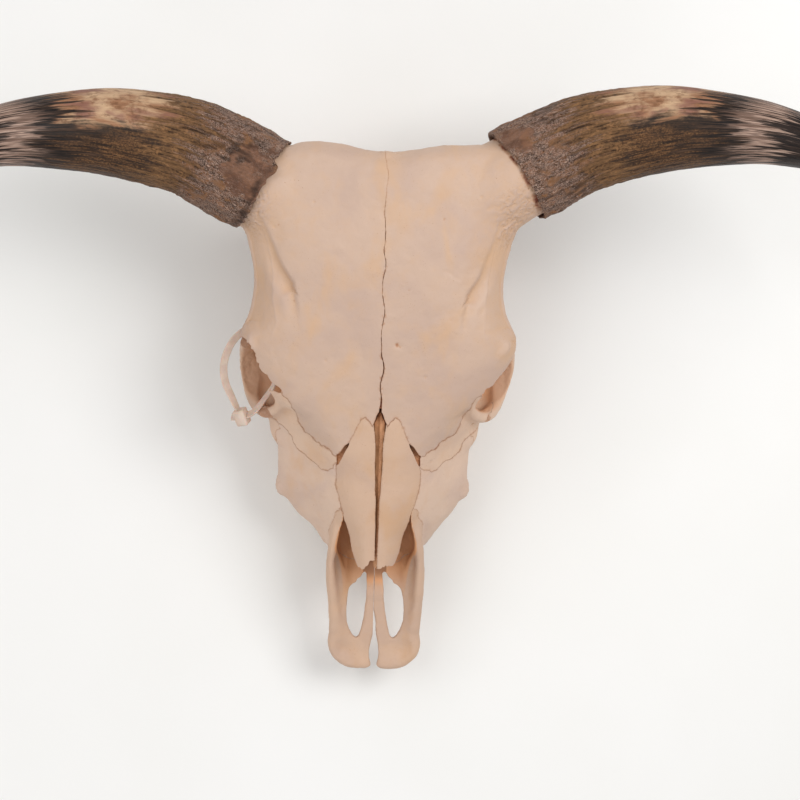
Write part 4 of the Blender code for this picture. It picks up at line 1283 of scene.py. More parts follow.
def nose_wall():
    rings = []
    for y, (high, low, wide) in stations(NOSE_WALL, 120):
        thick = 1.2 + 0.2 * math.sin(y / 7)
        section = (
            (-thick, low), (thick, low), (thick, high - 9), (wide, high - 3), (wide, high),
            (0.1 * wide, high), (-0.2 * wide, high - 2.2), (-wide, high - 2.6), (-wide, high - 6),
            (-thick, high - 10),
        )
        rings.append([(x, y, z) for x, z in section])
    wall = remeshed(loft("nose_wall", rings), 0.9, 2)
    p, n = points_of(wall), normals_of(wall)
    moved(wall, p + n * (0.3 * lumps(p, 6, 61) + 0.2 * lumps(p, 2.8, 62))[:, None])
    return evenly_marked(wall, 0.3 * ramp(lumps(p * (1, 0.3, 1), 3, 63), 0, 0.6), 0.3)


for _, side in SIDES:
    scroll = remeshed(egg("scroll", (28 * side, -53, 134), (11.5, 23, 6.5), (8, 0, 0)), 1.0, 1)
    p, n = points_of(scroll), normals_of(scroll)
    moved(scroll, p + n * (0.7 * lumps(p, 7, 65) + 0.3 * lumps(p, 3, 66))[:, None])
    cut(head, evenly_marked(scroll, 0.62, 0.4), "UNION")
cut(head, nose_wall(), "UNION")
print("cranium with the wall:", len(head.data.polygons), "faces")

# %% [markdown]
# Dried tissue fills the hairline down the middle of the brow, a little under its surface. A thin strip that
# follows the hairline stands for it, and belongs to the cranium below.

# %% Fill the hairline of the brow
SEAM_ROWS = slice(14, -2)  # rows of the hairline that are filled
SEAM_DEPTH = 3.4  # mm below the brow


def brow_seam():
    rings = []
    for x, gap, y in zip(HAIRLINE[SEAM_ROWS], HAIRLINE_GAP[SEAM_ROWS], HAIRLINE_Y[SEAM_ROWS]):
        top = rows_at(FOREHEAD, [y])[0, 0] - SEAM_DEPTH
        wide = gap + 0.3
        rings.append([(x - wide, y, top - 6), (x + wide, y, top - 6), (x + wide, y, top), (x - wide, y, top)])
    return evenly_marked(loft("brow_seam", rings), 0.85, 0)


joined("cranium", [head, brow_seam()])
print("cranium with the seam:", len(head.data.polygons), "faces")

# %% [markdown]
# ## The nasal bones
#
# The two long bones over the nose are thin, gently vaulted plates. They lie in the gap between the brow
# and the upper jaws, a little apart from each other, and their tips are chipped. Each is lofted from its
# inner edge, outer edge and crown at a row of stations, carved like the head, and its tip is broken off
# with a jagged cutter.

# %% Make the nasal bones
# (y, inner edge x, outer edge x, height of the crown, drop of the outer edge)
NASAL = (
    (-12, 7, 24, 162.5, 3), (-26, 5, 27, 159, 4.5), (-38, 3.5, 33, 155, 6), (-47, 3.2, 38, 152, 8),
    (-60, 3, 41, 147, 12), (-76, 2.2, 40.5, 141, 12.5), (-92, 1.6, 37, 136, 12.2), (-106, 1.2, 32, 131, 12),
    (-125, 0.9, 25, 124, 14), (-140, 0.8, 22, 118, 12), (-150, 0.8, 18.5, 114.5, 9), (-160, 0.8, 14, 111, 5),
)
NASAL_THICKNESS = 4.2
NASAL_FOLD = 0.28  # share of its width at which the bone turns down
NASAL_GRAIN = 0.9
# A gap is left where nasal, brow and lacrimal bone should meet, (x, y)
NASAL_NOTCH = (
    (40, -48), (36, -46), (30.5, -42), (26.6, -39), (27.6, -42.5), (31, -48.6), (33.4, -54),
    (36.4, -59.5), (40, -60),
)
# What is broken off the tip, (x, y)
BROKEN = {
    "left": ((-2, -147), (0.5, -146.9), (3, -147.8), (4.6, -147.4), (6, -148.5), (6.8, -151.4),
             (7.7, -152.6), (9.2, -153.2), (10.4, -155.6), (12.6, -156.6), (14.5, -154.5), (30, -157),
             (30, -180), (-2, -180)),
    "right": ((-2, -154), (2.5, -155.4), (5, -155), (6.4, -153.2), (7.6, -153.8), (9, -151.8), (10.5, -153.4),
              (12, -152.2), (13.2, -152.9), (16, -152.6), (18, -150), (20, -146.9), (30, -146), (30, -180),
              (-2, -180)),
}
BROKEN_STAIN = 0.35


def nasal_plate(name):
    """A vaulted plate, lofted from front to back."""
    t = np.linspace(0, 1, 30)
    inward = np.clip(1 - t / NASAL_FOLD, 0, 1)
    outward = np.clip((t - NASAL_FOLD) / (1 - NASAL_FOLD), 0, 1)
    rings = []
    for y, (inner, outer, crown, drop) in stations(NASAL, 90):
        x = inner + (outer - inner) * t
        z = crown - 1.2 * inward**2 - drop * outward**1.9
        down = unit(np.stack([np.gradient(z), -np.gradient(x)], axis=1))
        under = np.stack([x, z], axis=1) + down * min(NASAL_THICKNESS, 0.4 * (outer - inner))
        under[:, 0] = np.clip(under[:, 0], inner, outer)
        rings.append([(a, y, b) for a, b in zip(x, z)] + [(a, y, b) for a, b in under[::-1]])
    return loft(name, rings, laddered=True)


def nasal(side_name, side):
    bone = remeshed(nasal_plate("nasal_bone_" + side_name), NASAL_GRAIN, 2)
    p, n = points_of(bone), normals_of(bone)
    seed = 5 if side > 0 else 8
    height = 0.3 * lumps(p, 26, seed) + 0.16 * lumps(p, 9, seed + 1) + 0.06 * lumps(p, 3, seed + 2)
    moved(bone, p + n * height[:, None])
    keep(bone, "relief_shading", np.clip(dents_of(bone, 24), -4, 4))
    keep(bone, "skin", np.ones(len(p)))
    inner = rows_at(NASAL, p[:, 1])[:, 0]
    edge = np.minimum(p[:, 0] - inner, nearest(p[:, :2], NASAL_PLAN, 9, True)[0])
    keep(bone, "stain", 0.5 * np.exp(-((np.clip(edge, 0, 9) / 1.2) ** 1.2)) * (0.6 + 0.5 * lumps(p, 7, 17)))
    # Painted orange light and shade on the plate's underside, which faces down into the nose.
    keep(bone, "deep", ramp(-n[:, 2], 0, 0.6))
    cut(bone, prism("seat", widened(nasal_seat(side), -0.12), "Z", 50, 300), "INTERSECT")
    cut(bone, prism("notch", NASAL_NOTCH, "Z", 50, 300))
    cut(bone, prism("broken", BROKEN[side_name], "Z", 60, 160))
    keep(bone, "stain", np.where(kept(bone, "skin") > 0.5, kept(bone, "stain"), BROKEN_STAIN))
    return on_side(bone, side)


for side_name, side in SIDES:
    bones["nasal", side_name] = nasal(side_name, side)
print("nasal bones:", [len(bones["nasal", s].data.polygons) for s, _ in SIDES], "faces")

# %% [markdown]
# ## The cheek teeth
#
# A bull grinds grass, so each molar is a pillar with a flat, worn top. Hard enamel stands out as fine
# ridges: one round the rim, and one round each crescent-shaped pit. Softer dentine between them wears
# into troughs. A cube is subdivided, its sides are swung in and out into lobes and ribs, and its lower
# face is pressed into ridges, troughs and pits. The six teeth of a side are joined to their jaw bone.

# %% Make the teeth
TOOTH_TOP = 46  # height at which the roots end inside the jaw, mm
TOOTH_CUTS = 24
MOLAR_LOBES, PREMOLAR_LOBES = ((-0.5, 0.44), (0.5, 0.44)), ((0.0, 0.8),)  # middle and half length


def biting_face(a, b, rim, lobes):
    """Where the enamel ridges and the pits lie on the worn face, from 0 to 1."""
    pit, ring = np.zeros(len(a)), np.zeros(len(a))
    for middle_b, half in lobes:
        u = (b - middle_b) / half
        off = np.abs(a - 0.02 + 0.2 - 0.42 * u * u) * (1 + 0.25 * np.cos(9 * u))
        inside = 1 - ramp(np.abs(u), 0.62, 0.85)
        pit = np.maximum(pit, inside * (1 - ramp(off, 0.05, 0.11)))
        ring = np.maximum(ring, (1 - ramp(np.abs(u), 0.8, 0.98)) * (1 - ramp(np.abs(off - 0.16), 0.02, 0.07)))
    enamel = np.maximum(1 - ramp(np.abs(rim - 0.05), 0.02, 0.09), ring) * (1 - pit)
    return enamel, pit


def tooth(name, front, rear, middle, width, worn, seed):
    bpy.ops.mesh.primitive_cube_add(size=2)
    obj = edited(bpy.context.object, (bpy.ops.mesh.subdivide, {"number_cuts": TOOTH_CUTS}))
    a, b, c = read(obj.data.vertices, "co", 3, float).T
    molar = name[0] == "M"
    across = a * (0.5 + 0.5 * np.sqrt(1 - b * b / 2))
    along = b * (0.5 + 0.5 * np.sqrt(1 - a * a / 2))
    cheek_side, tongue_side = np.clip(a, 0, 1), np.clip(-a, 0, 1)
    ribs = 0.08 * np.cos(2 * np.pi * b) + 0.04 * np.cos(4 * np.pi * b)
    furrow = 0.3 * np.exp(-((b / 0.16) ** 2)) if molar else 0.1 * b * b
    across += cheek_side**2 * (ribs - 0.05) + tongue_side**2 * furrow
    rim = 1 - np.maximum(np.abs(a), np.abs(b))
    enamel, pit = biting_face(a, b, rim, MOLAR_LOBES if molar else PREMOLAR_LOBES)
    lower = c < -0.999
    size = 0.9 + 0.1 * ramp(-c, -0.6, 0.6)
    z = worn + (TOOTH_TOP - worn) * (c + 1) / 2
    z += np.where(lower, 1.3 * (1 - enamel) * (1 - pit) + 4.5 * pit + 0.5 * (1 - ramp(rim, 0, 0.04)), 0)
    p = np.stack([
        middle - 0.08 * (z - worn) + width / 2 * across * size,
        (front + rear) / 2 + (rear - front) / 2 * along * size * 0.985, z,
    ], axis=1)
    p += 0.25 * (1 - lower)[:, None] * np.stack([lumps(p, 5, seed), lumps(p, 4, seed + 1), 0 * z], axis=1)
    p[:, 2] = np.maximum(p[:, 2], worn)
    moved(obj, p)
    keep(obj, "enamel", np.where(lower, enamel, 0.25))
    keep(obj, "pit", np.where(lower, np.maximum(pit, 0.4 * (1 - ramp(rim, 0, 0.05))), 0))
    return obj


teeth = {
    name: [tooth(*row, seed=101 + 7 * k) for k, row in enumerate(CHEEK_TEETH)]
    for name, _ in SIDES
}
for obj in teeth["left"]:
    flipped(obj)
print("teeth:", [len(t.data.polygons) for t in teeth["left"]], "faces each")

# %% [markdown]
# ## The horn sheaths
#
# A horn is a bony core under a sheath of keratin. Fibres run along the sheath, it peels in curls near
# its root, and its thin edge is ragged and lifts off the bone. A flat grid is rolled into a tube: its
# first rows line the mouth, the next ones turn over the rim, and the rest run out to the tip.

# %% The line, the rim and the profile of a sheath
AROUND, LENGTHWAYS = 240, 320
MOUTH_DEPTH = 26
MOUTH_RADIUS = CORE_RADIUS + 1.2
LINING, LIP = 0.05, 0.062  # shares of the grid's rows that line the mouth, and that end at the rim
FLARE = 0.26  # growth of the radius for each mm that a rim lies inwards of the root
HORN_SEEDS = {"right": 200, "left": 300}


def distances(points):
    """Distance of each point of a path from its start."""
    return np.concatenate([[0], np.cumsum(np.linalg.norm(np.diff(points, axis=0), axis=1))])


def horn_line(side_name):
    line = through(np.array(HORN, float)[:, :3], 160)
    along = distances(line)
    line[:, 1] += spline(*zip(*SWAY[side_name]), along / along[-1])
    return line, along


def rim_of(side_name, turn, seed):
    """How far out from the root the ragged rim lies, by angle round the horn."""
    cos, sin = np.cos(np.radians(turn)), np.sin(np.radians(turn))
    around = np.stack([43 * cos, 43 * sin, 0 * turn], axis=1)
    rim = np.interp(turn, *zip(*RIM[side_name]))
    return rim + (0.9 * lumps(around, 9, seed) + 0.7 * lumps(around, 3.5, seed + 1))


def profile_of(v, rim, whole):
    """Distance out from the root for each row of the grid, the share of the way into the mouth, and how
    far the row has turned over the rim."""
    out = np.clip((v - LIP) / (1 - LIP), 0, 1)
    inward = np.clip((LINING - v) / LINING, 0, 1)
    turned = np.clip((v - LINING) / (LIP - LINING), 0, 1)
    s = rim * (1 - ramp(out, 0, 0.12)) + (whole - 0.01) * out**1.12
    s = np.where(v < LINING, rim + (MOUTH_DEPTH - rim) * np.clip(inward * 1.25, 0, 1), s)
    s = np.where((v >= LINING) & (v < LIP), rim - 0.9 * np.sin(np.pi * turned), s)
    return s, inward, turned


print("length of a horn:", {name: round(float(horn_line(name)[1][-1])) for name, _ in SIDES}, "mm")

# %% [markdown]
# Fibres, flakes and rings of growth are raised on the sheath along its own length, so that they follow the
# bend. They are strongest near the root and fade out towards the smooth tip. One smooth patch near each rim
# was worn bare, and the left sheath has a fold behind its rim.

# %% Raise fibres, flakes and rings
# A smooth patch near the rim: angle round the horn, distance from the rim and reach, mm
PATCH = {"right": (52, 12, 15), "left": (88, 16, 25)}


def off_by(turn, angle):
    """The angle from one place round the horn to another, -180 to 180."""
    return (turn - angle + 180) % 360 - 180


def horn_relief(side_name, turn, s, past, whole, grain, seed):
    """How far each point is lifted, mm, the smooth patch, the channel of the fold, and the fair back."""

    def field(size, number, stretch=1.0):
        return lumps(grain * (1, 1, stretch), size, seed + number)

    rough_zone = 1 - ramp(s, 70, 150)
    front = ramp(np.abs(off_by(turn, 150)), 95, 60)
    fair = ramp(np.abs(off_by(turn, 30)), 62, 56) * ramp(s, 80, 112) * (1 - ramp(s, 178, 205))
    turned_at, out_at, reach = PATCH[side_name]
    from_patch = np.hypot(off_by(turn, turned_at) * 0.75, past - out_at) / reach
    smooth_patch = 1 - ramp(from_patch + 0.35 * field(9, 2) + 0.15 * field(3, 15), 0.7, 1.15)
    fibres = field(2.6, 3, 0.09) + 0.6 * field(1.7, 4, 0.2)
    curls = lumps(grain * (1, 1, 0.35) + 3 * field(14, 5)[:, None], 3.2, seed + 6)
    flakes = ramp(field(11, 7, 0.35), 0.02, 0.12) + ramp(field(6, 14), 0.3, 0.4)
    rings = np.sin((s + 9 * field(50, 8)) * 2 * np.pi / 11.5) * ramp(s, 8, 20) * (1 - ramp(s, 120, 210))
    rings *= 0.6 + 0.6 * field(30, 12)
    strength = 0.14 + 0.42 * rough_zone * (1 - 0.8 * smooth_patch) + 0.12 * front * (1 - ramp(s, 150, 260))
    lift = strength * (1 - 0.8 * fair) * (0.6 * fibres + 0.4 * fibres * np.abs(fibres))
    lift += rough_zone * (1 - smooth_patch) * (0.35 * np.abs(curls) - 0.15) * ramp(past, 4, 14)
    lift += 0.4 * rough_zone * (flakes - 0.5) * ramp(past, 2, 8) + 0.1 * rings
    lift += 0.5 * field(45, 9) + 0.2 * field(16, 10, 0.5)
    channel = np.zeros(len(s))
    if side_name == "right":
        lift += 2.6 * ramp(np.cos(np.radians(turn)), 0.4, 1) * (1 - ramp(past, 2, 22))
    else:
        folded = ramp(turn, 70, 100) * (1 - ramp(turn, 170, 190))
        fold_at = past + 1.2 * field(10, 11)
        channel = folded * ramp(fold_at, -2, 2.5) * (1 - ramp(fold_at, 3, 10))
        lift += folded * (0.9 * ramp(fold_at, 5, 9) * (1 - ramp(fold_at, 10, 20)) - 0.7 * channel)
    return lift * (1 - ramp(s, whole - 40, whole)), smooth_patch, channel


print("smooth patches, degrees round and mm out:", {name: row[:2] for name, row in PATCH.items()})

# %% [markdown]
# The grid is then bent round the horn's line: each row is a ring at its own distance out, and each point
# lies on it at its own angle and radius. The numbers that the finish needs are kept on the points.

# %% Roll the sheaths
def placed(line, along, s, cos, sin, r):
    """Points at distance s along a line and at radius r round it."""

    def at(rows):
        return np.stack([np.interp(np.clip(s, 0, along[-1]), along, column) for column in rows.T], axis=1)

    aim = unit(at(unit(np.gradient(line, along, axis=0))))
    middle = at(line) + aim * np.minimum(s, 0)[:, None]
    high = unit(np.array([0, 0, 1]) - aim * aim[:, 2:])
    back = np.cross(high, aim)
    return middle + (back * cos[:, None] + high * sin[:, None]) * r[:, None]


def sheath(side_name, side):
    line, along = horn_line(side_name)
    whole, seed = along[-1], HORN_SEEDS[side_name]
    bpy.ops.mesh.primitive_grid_add(x_subdivisions=AROUND, y_subdivisions=LENGTHWAYS, size=2, calc_uvs=True)
    obj = bpy.context.object
    obj.name = "horn_" + side_name
    u, v, _ = (read(obj.data.vertices, "co", 3, float).T + 1) / 2
    turn = 360 * u
    cos, sin = np.cos(np.radians(turn)), np.sin(np.radians(turn))

    rim = rim_of(side_name, turn, seed)
    s, inward, turned = profile_of(v, rim, whole)
    rows = np.array(HORN, float)
    flare = FLARE * np.clip(-s, 0, 20)
    radius = spline(distances(rows[:, :3]), rows[:, 3], np.clip(s, 0, whole)) + flare
    bore = MOUTH_RADIUS + flare
    grain = np.stack([cos * 43, sin * 43, s], axis=1)
    past = s - rim
    lift, smooth_patch, channel = horn_relief(side_name, turn, s, past, whole, grain, seed)

    thin = 1.8 * (1 - ramp(past, 0, 20)) * ramp(radius - bore, 0, 3)
    outer = radius - thin + lift
    outer = np.where(s < MOUTH_DEPTH, np.maximum(outer, bore + 0.9), outer)
    outer *= np.sqrt(np.clip((whole - s) / 3, 0, 1))
    r = np.where(v < LINING, bore, outer)
    r = np.where(inward > 0.8, bore * (1 - inward) / 0.2, r)
    r = np.where((v >= LINING) & (v < LIP), bore + (outer - bore) * turned, r)
    moved(obj, placed(line, along, s, cos, sin, r))

    lined = ramp(v, LINING, LIP)
    keep(obj, "along", s / whole)
    keep(obj, "lift", np.clip(lift, -2, 2) * lined)
    keep(obj, "facing", np.cos(np.radians(turn - 30)) - (0.1 if side > 0 else 0))
    keep(obj, "patch", smooth_patch * (1 + 0.6 * lumps(grain * (1, 1, 0.5), 5, seed + 13)))
    # Painted shade in the left sheath's fold and inside the mouth of each sheath.
    keep(obj, "fold_and_mouth_shade", np.maximum(0.7 * channel, 1 - lined))
    fibre = obj.data.attributes.new("fibre", "FLOAT_VECTOR", "POINT")
    fibre.data.foreach_set("vector", (grain * MM).astype(np.float32).ravel())
    edited(
        obj, (bpy.ops.mesh.remove_doubles, {"threshold": 0.00002}),
        (bpy.ops.mesh.normals_make_consistent, {"inside": False}),
    )
    return on_side(obj, side)


horns = {side_name: sheath(side_name, side) for side_name, side in SIDES}
print("horns:", {name: len(h.data.polygons) for name, h in horns.items()}, "faces")

# %% [markdown]
# ## The cable tie
#
# The skull once hung by a nylon tie, which still loops through one eye socket. A tie is one moulding: a
# strap with fine saw teeth on its inner face, and at its end a small block with a slot that the strap is
# pulled through. The strap is lofted along its loop. The block starts as a cube, which is stretched,
# bevelled, and cut with a slot.

# %% Make the cable tie
# The strap's line from the block round to the tail, (x, y, z), and the direction of its width. It is
# written for the right eye, and flipped to the left one.
TIE = (
    ((129, -12.5, 115), (0.5, 0.3, 0.7)), ((134.5, -1, 119), (0.8, -0.3, 0.5)),
    ((140.5, 13, 124), (0.95, -0.1, 0.3)), ((142, 27, 129), (1, 0, 0.15)),
    ((138, 42, 134), (0.9, 0.35, 0.2)), ((130, 54, 137), (0.6, 0.6, 0.4)),
    ((117.5, 62, 138), (0.1, 0.5, 0.8)), ((103, 56.5, 137), (-0.3, 0.2, 0.9)),
    ((95, 36, 132), (-0.5, 0, 0.85)), ((95.5, 14, 126), (-0.45, -0.3, 0.8)),
    ((105, -2, 121), (-0.45, -0.35, 0.8)), ((115, -14, 118), (-0.45, -0.5, 0.7)),
    ((125.5, -18.5, 113.5), (-0.3, -0.7, 0.6)), ((135, -19, 108.5), (-0.2, -0.8, 0.5)),
)
TIE_STRAP = (6.8, 1.6)
TIE_HEAD = (11.5, 15.5, 11)
TIE_CLEARANCE = 0.35
TIE_STEPS = 560
# Half of the strap's section: (share of half the width, share of half the thickness)
STRAP_SECTION = ((0.62, -1), (0.92, -0.9), (1, -0.4), (1, 0.4), (0.92, 0.9), (0.62, 1), (0.55, 0.72))


def strap(name, first, last, size, teeth=0.0):
    """The strap from one share of its length to another. Every other ring of its inner face is sunk."""
    count = TIE_STEPS
    points = through([p for p, _ in TIE], count)
    wide = spline(np.linspace(0, 1, len(TIE)), [w for _, w in TIE], np.linspace(0, 1, count))
    section = list(STRAP_SECTION) + [(-a, b) for a, b in STRAP_SECTION[::-1]]
    rings = []
    for k in range(int(first * count), int(last * count)):
        run = Vector(points[min(k + 1, count - 1)] - points[max(k - 1, 0)]).normalized()
        across = Vector(wide[k])
        across = (across - run * across.dot(run)).normalized()
        deep = run.cross(across)
        sunk = teeth * (k % 3 == 0)
        rings.append([
            Vector(points[k]) + across * a * size[0] / 2 + deep * (b * size[1] / 2 - sunk * (abs(a) < 0.6))
            for a, b in section
        ])
    return loft(name, rings)


def cable_tie():
    points = through([p for p, _ in TIE], 28)
    out = Vector(points[-1] - points[-4]).normalized()
    root = Vector(points[1] - points[0])
    root = (root - out * root.dot(out)).normalized()
    thick, long, high = TIE_HEAD
    bpy.ops.mesh.primitive_cube_add(size=MM, scale=(thick, long, high))
    block = settled(bpy.context.object)
    applied(block, "BEVEL", width=2 * MM, segments=5)
    frame_of_block = Matrix((out, root, out.cross(root))).transposed().to_4x4()
    frame_of_block.translation = spot(TIE[-2][0])
    block.data.transform(frame_of_block)
    slot = (TIE_STRAP[0] + 2 * TIE_CLEARANCE, TIE_STRAP[1] + 2 * TIE_CLEARANCE)
    cut(block, strap("slot", 0.84, 1, slot))
    return flipped(joined("tie", [strap("strap", 0, 1, TIE_STRAP, 0.3), block]))


tie = cable_tie()
print("cable tie:", len(tie.data.polygons), "faces")

# %% [markdown]
# ## How the finishes are made
#
# Colours are written as a painter would read them off a screen, from 0 to 255. paint() turns them into
# the shares of light that the shader takes.

# %% Colours
def paint(red, green, blue):
    shares = [c / 255 for c in (red, green, blue)]
    return (*[s / 12.92 if s <= 0.04045 else ((s + 0.055) / 1.055) ** 2.4 for s in shares], 1)


print("mid grey as a painter reads it:", round(paint(128, 128, 128)[0], 3), "in the shader")

# %% [markdown]
# A finish is a small net of nodes. It reads the place on the object, and the numbers kept on the points
# while the pieces were made. Each step of a recipe adds one node or two, so that a finish reads like one.

# %% A recipe of nodes
class Recipe:
    """A material's nodes, added one by one."""

    def __init__(self, name):
        self.material = bpy.data.materials.new(name)
        self.material.use_nodes = True
        self.tree = self.material.node_tree
        self.shader = self.tree.nodes["Principled BSDF"]
        self.place = self.tree.nodes.new("ShaderNodeTexCoord").outputs["Object"]

    def set(self, node, inputs):
        """Sets a node's inputs, by a link where the value comes out of another node."""
        for key, value in inputs.items():
            if isinstance(value, bpy.types.NodeSocket):
                self.tree.links.new(value, node.inputs[key])
            else:
                node.inputs[key].default_value = value
        return node

    def noise(self, scale, detail=3.0, rough=0.55, bend=0.0, at=None):
        node = self.tree.nodes.new("ShaderNodeTexNoise")
        inputs = {"Scale": scale, "Detail": detail, "Roughness": rough, "Distortion": bend}
        return self.set(node, {**inputs, "Vector": at or self.place}).outputs["Fac"]

    def cells(self, scale):
        node = self.tree.nodes.new("ShaderNodeTexVoronoi")
        inputs = {"Scale": scale, "Randomness": 1.0, "Vector": self.place}
        return self.set(node, inputs).outputs["Distance"]

    def stretched(self, scale, at=None, moved=(0, 0, 0)):
        node = self.tree.nodes.new("ShaderNodeMapping")
        inputs = {"Vector": at or self.place, "Scale": scale, "Location": moved}
        return self.set(node, inputs).outputs["Vector"]

    def kept(self, name, output="Fac"):
        node = self.tree.nodes.new("ShaderNodeAttribute")
        node.attribute_name = name
        return node.outputs[output]

    def between(self, value, low, high, bottom=0.0, top=1.0):
        node = self.tree.nodes.new("ShaderNodeMapRange")
        node.interpolation_type = "SMOOTHSTEP"
        inputs = {"Value": value, "From Min": low, "From Max": high, "To Min": bottom, "To Max": top}
        return self.set(node, inputs).outputs["Result"]

    def maths(self, kind, a, b=0.0):
        node = self.tree.nodes.new("ShaderNodeMath")
        node.operation = kind
        return self.set(node, {0: a, 1: b}).outputs["Value"]

    def times(self, a, b):
        return self.maths("MULTIPLY", a, b)

    def plus(self, a, b):
        return self.maths("ADD", a, b)

    def mixed(self, share, a, b):
        node = self.tree.nodes.new("ShaderNodeMix")
        node.data_type = "RGBA"
        return self.set(node, {0: share, 6: a, 7: b}).outputs[2]

    def over(self, under, colour, value, low, high, most=1.0):
        """Lays a colour over another where value goes from low to high, at most by the share given."""
        return self.mixed(self.between(value, low, high, 0, most), under, paint(*colour))

    def relief(self, height, depth, under=None):
        node = self.tree.nodes.new("ShaderNodeBump")
        inputs = {"Height": height, "Strength": 1.0, "Distance": depth * MM}
        if under:
            inputs["Normal"] = under
        return self.set(node, inputs).outputs["Normal"]

    def done(self, colour, roughness, normal, **fixed):
        self.set(self.shader, {"Base Color": colour, "Roughness": roughness, "Normal": normal, **fixed})
        return self.material


print("steps of a recipe:", [step for step in vars(Recipe) if step[0] != "_"])

# %% [markdown]
# ## Bone
#
# Dry, bleached bone is a warm, matt off-white, never one flat colour. Broad pinkish-grey and peach clouds lie
# over each other. Hollows get painted shade and ridges a little painted light. Inner walls get a painted
# orange tone for light through thin bone, and painted shade. Seams and holes are stained brown. Up close it
# is faintly porous. Each group of bones gets its own tints.

# %% Bone finish
def bone_finish(name, pale, cloud, warm):
    r = Recipe(name)
    deep, stain, relief_shading, rough = [r.kept(mark) for mark in ("deep", "stain", "relief_shading", "rough")]
    clouds, fine_clouds = r.noise(17, 3, 0.5, 0.6), r.noise(75, 4, 0.6)
    glow = r.noise(26, 3, 0.55, 0.4, r.stretched((1, 0.6, 1), moved=(3, 1, 2)))
    colour = r.over(paint(*pale), cloud, clouds, 0.38, 0.66)
    colour = r.over(colour, warm, glow, 0.5, 0.74, 0.75)
    colour = r.over(colour, warm, fine_clouds, 0.45, 0.75, 0.22)
    # Painted shade and light: hollows are warmed and darkened, and ridges are paled.
    colour = r.over(colour, warm, relief_shading, 0.1, 1.4, 0.7)
    colour = r.over(colour, pale, relief_shading, -0.1, -1.2, 0.3)

    pores = r.cells(520)
    open_pores = r.maths("MAXIMUM", r.between(r.noise(60, 2), 0.5, 0.62), r.times(rough, 0.5))
    pore = r.times(r.between(pores, 0.2, 0.06), open_pores)
    colour = r.mixed(r.times(pore, 0.35), colour, paint(140, 96, 68))
    dusty = r.between(r.noise(40, 2), 0.42, 0.6, 0.15, 0.7)
    specks = r.times(r.between(r.noise(820, 2, 0.5), 0.7, 0.78), dusty)
    colour = r.mixed(specks, colour, paint(142, 92, 60))
    crust = r.times(rough, r.between(r.noise(330, 4, 0.65), 0.5, 0.75, 0, 0.3))
    colour = r.mixed(crust, colour, paint(158, 116, 84))

    # Painted light and shade: deep inner walls take an orange tone that stands in for light through thin
    # bone, and the deepest ones a darker brown shade.
    colour = r.over(colour, (218, 154, 102), deep, 0, 0.6, 0.8)
    colour = r.over(colour, (120, 76, 48), deep, 0.5, 1, 0.8)
    seam = r.plus(stain, r.between(r.noise(420, 4, 0.65), 0.3, 0.7, -0.14, 0.14))
    colour = r.over(colour, (166, 110, 70), seam, 0.1, 0.6, 0.6)
    colour = r.over(colour, (118, 46, 22), seam, 0.55, 1.0, 0.9)

    grain = r.noise(1100, 3, 0.6)
    normal = r.relief(grain, 0.05)
    normal = r.relief(r.noise(420, 3, 0.6, 0.3, r.stretched((1, 0.25, 1))), 0.1, normal)
    normal = r.relief(r.times(r.between(pores, 0.0, 0.3), open_pores), 0.1, normal)
    normal = r.relief(r.times(rough, r.noise(400, 5, 0.7, 0.5)), 0.4, normal)
    shine = r.plus(r.times(grain, 0.4), r.times(clouds, 0.6))
    return r.done(colour, r.between(shine, 0.3, 0.7, 0.5, 0.68), normal)


# The pale, cloudy and warm shade of each group of bones
BONE_SHADES = {
    "bone_brow": ((199, 170, 150), (192, 164, 147), (204, 166, 132)),
    "bone_base": ((203, 173, 149), (194, 165, 143), (198, 158, 122)),
    "bone_cheek": ((213, 182, 158), (203, 173, 152), (208, 168, 134)),
    "bone_jaw": ((212, 183, 162), (203, 175, 158), (208, 170, 138)),
    "bone_muzzle": ((203, 170, 145), (195, 164, 143), (201, 160, 124)),
}
BONE = {name: bone_finish(name, *shades) for name, shades in BONE_SHADES.items()}
print("bone finishes:", list(BONE))

# %% [markdown]
# ## Tooth
#
# Enamel is cream and hard, so it shines. Dentine is brown-yellow and dull, and the pits and sides carry
# black-brown tartar. The marks that shaped the biting face also colour it.

# %% Tooth finish
def tooth_finish():
    r = Recipe("tooth")
    enamel, pit = r.kept("enamel"), r.kept("pit")
    streaks = r.noise(300, 4, 0.6, 0.2, r.stretched((1, 1, 0.25)))
    colour = r.over(paint(196, 168, 128), (146, 108, 70), streaks, 0.35, 0.7)
    colour = r.over(colour, (84, 58, 36), r.noise(130, 4, 0.7), 0.5, 0.72, 0.8)
    colour = r.over(colour, (232, 218, 192), enamel, 0.4, 0.9)
    colour = r.over(colour, (48, 32, 20), pit, 0.2, 0.8)
    normal = r.relief(r.noise(700, 4, 0.65, 0.0, r.stretched((1, 1, 0.2))), 0.2)
    return r.done(colour, r.between(enamel, 0.3, 0.9, 0.55, 0.28), normal)


TOOTH = tooth_finish()
print("tooth finish:", len(TOOTH.node_tree.nodes), "nodes")

# %% [markdown]
# ## Horn
#
# Near the root, curly whitish fibres lie on brown. Then come a pink-tan smooth stretch behind and a dark,
# finely fibred one in front, black streaks, a pale streaky band and a black tip. All of it follows the
# fibres, so every field below is read along and round the horn, from the place kept on its points.

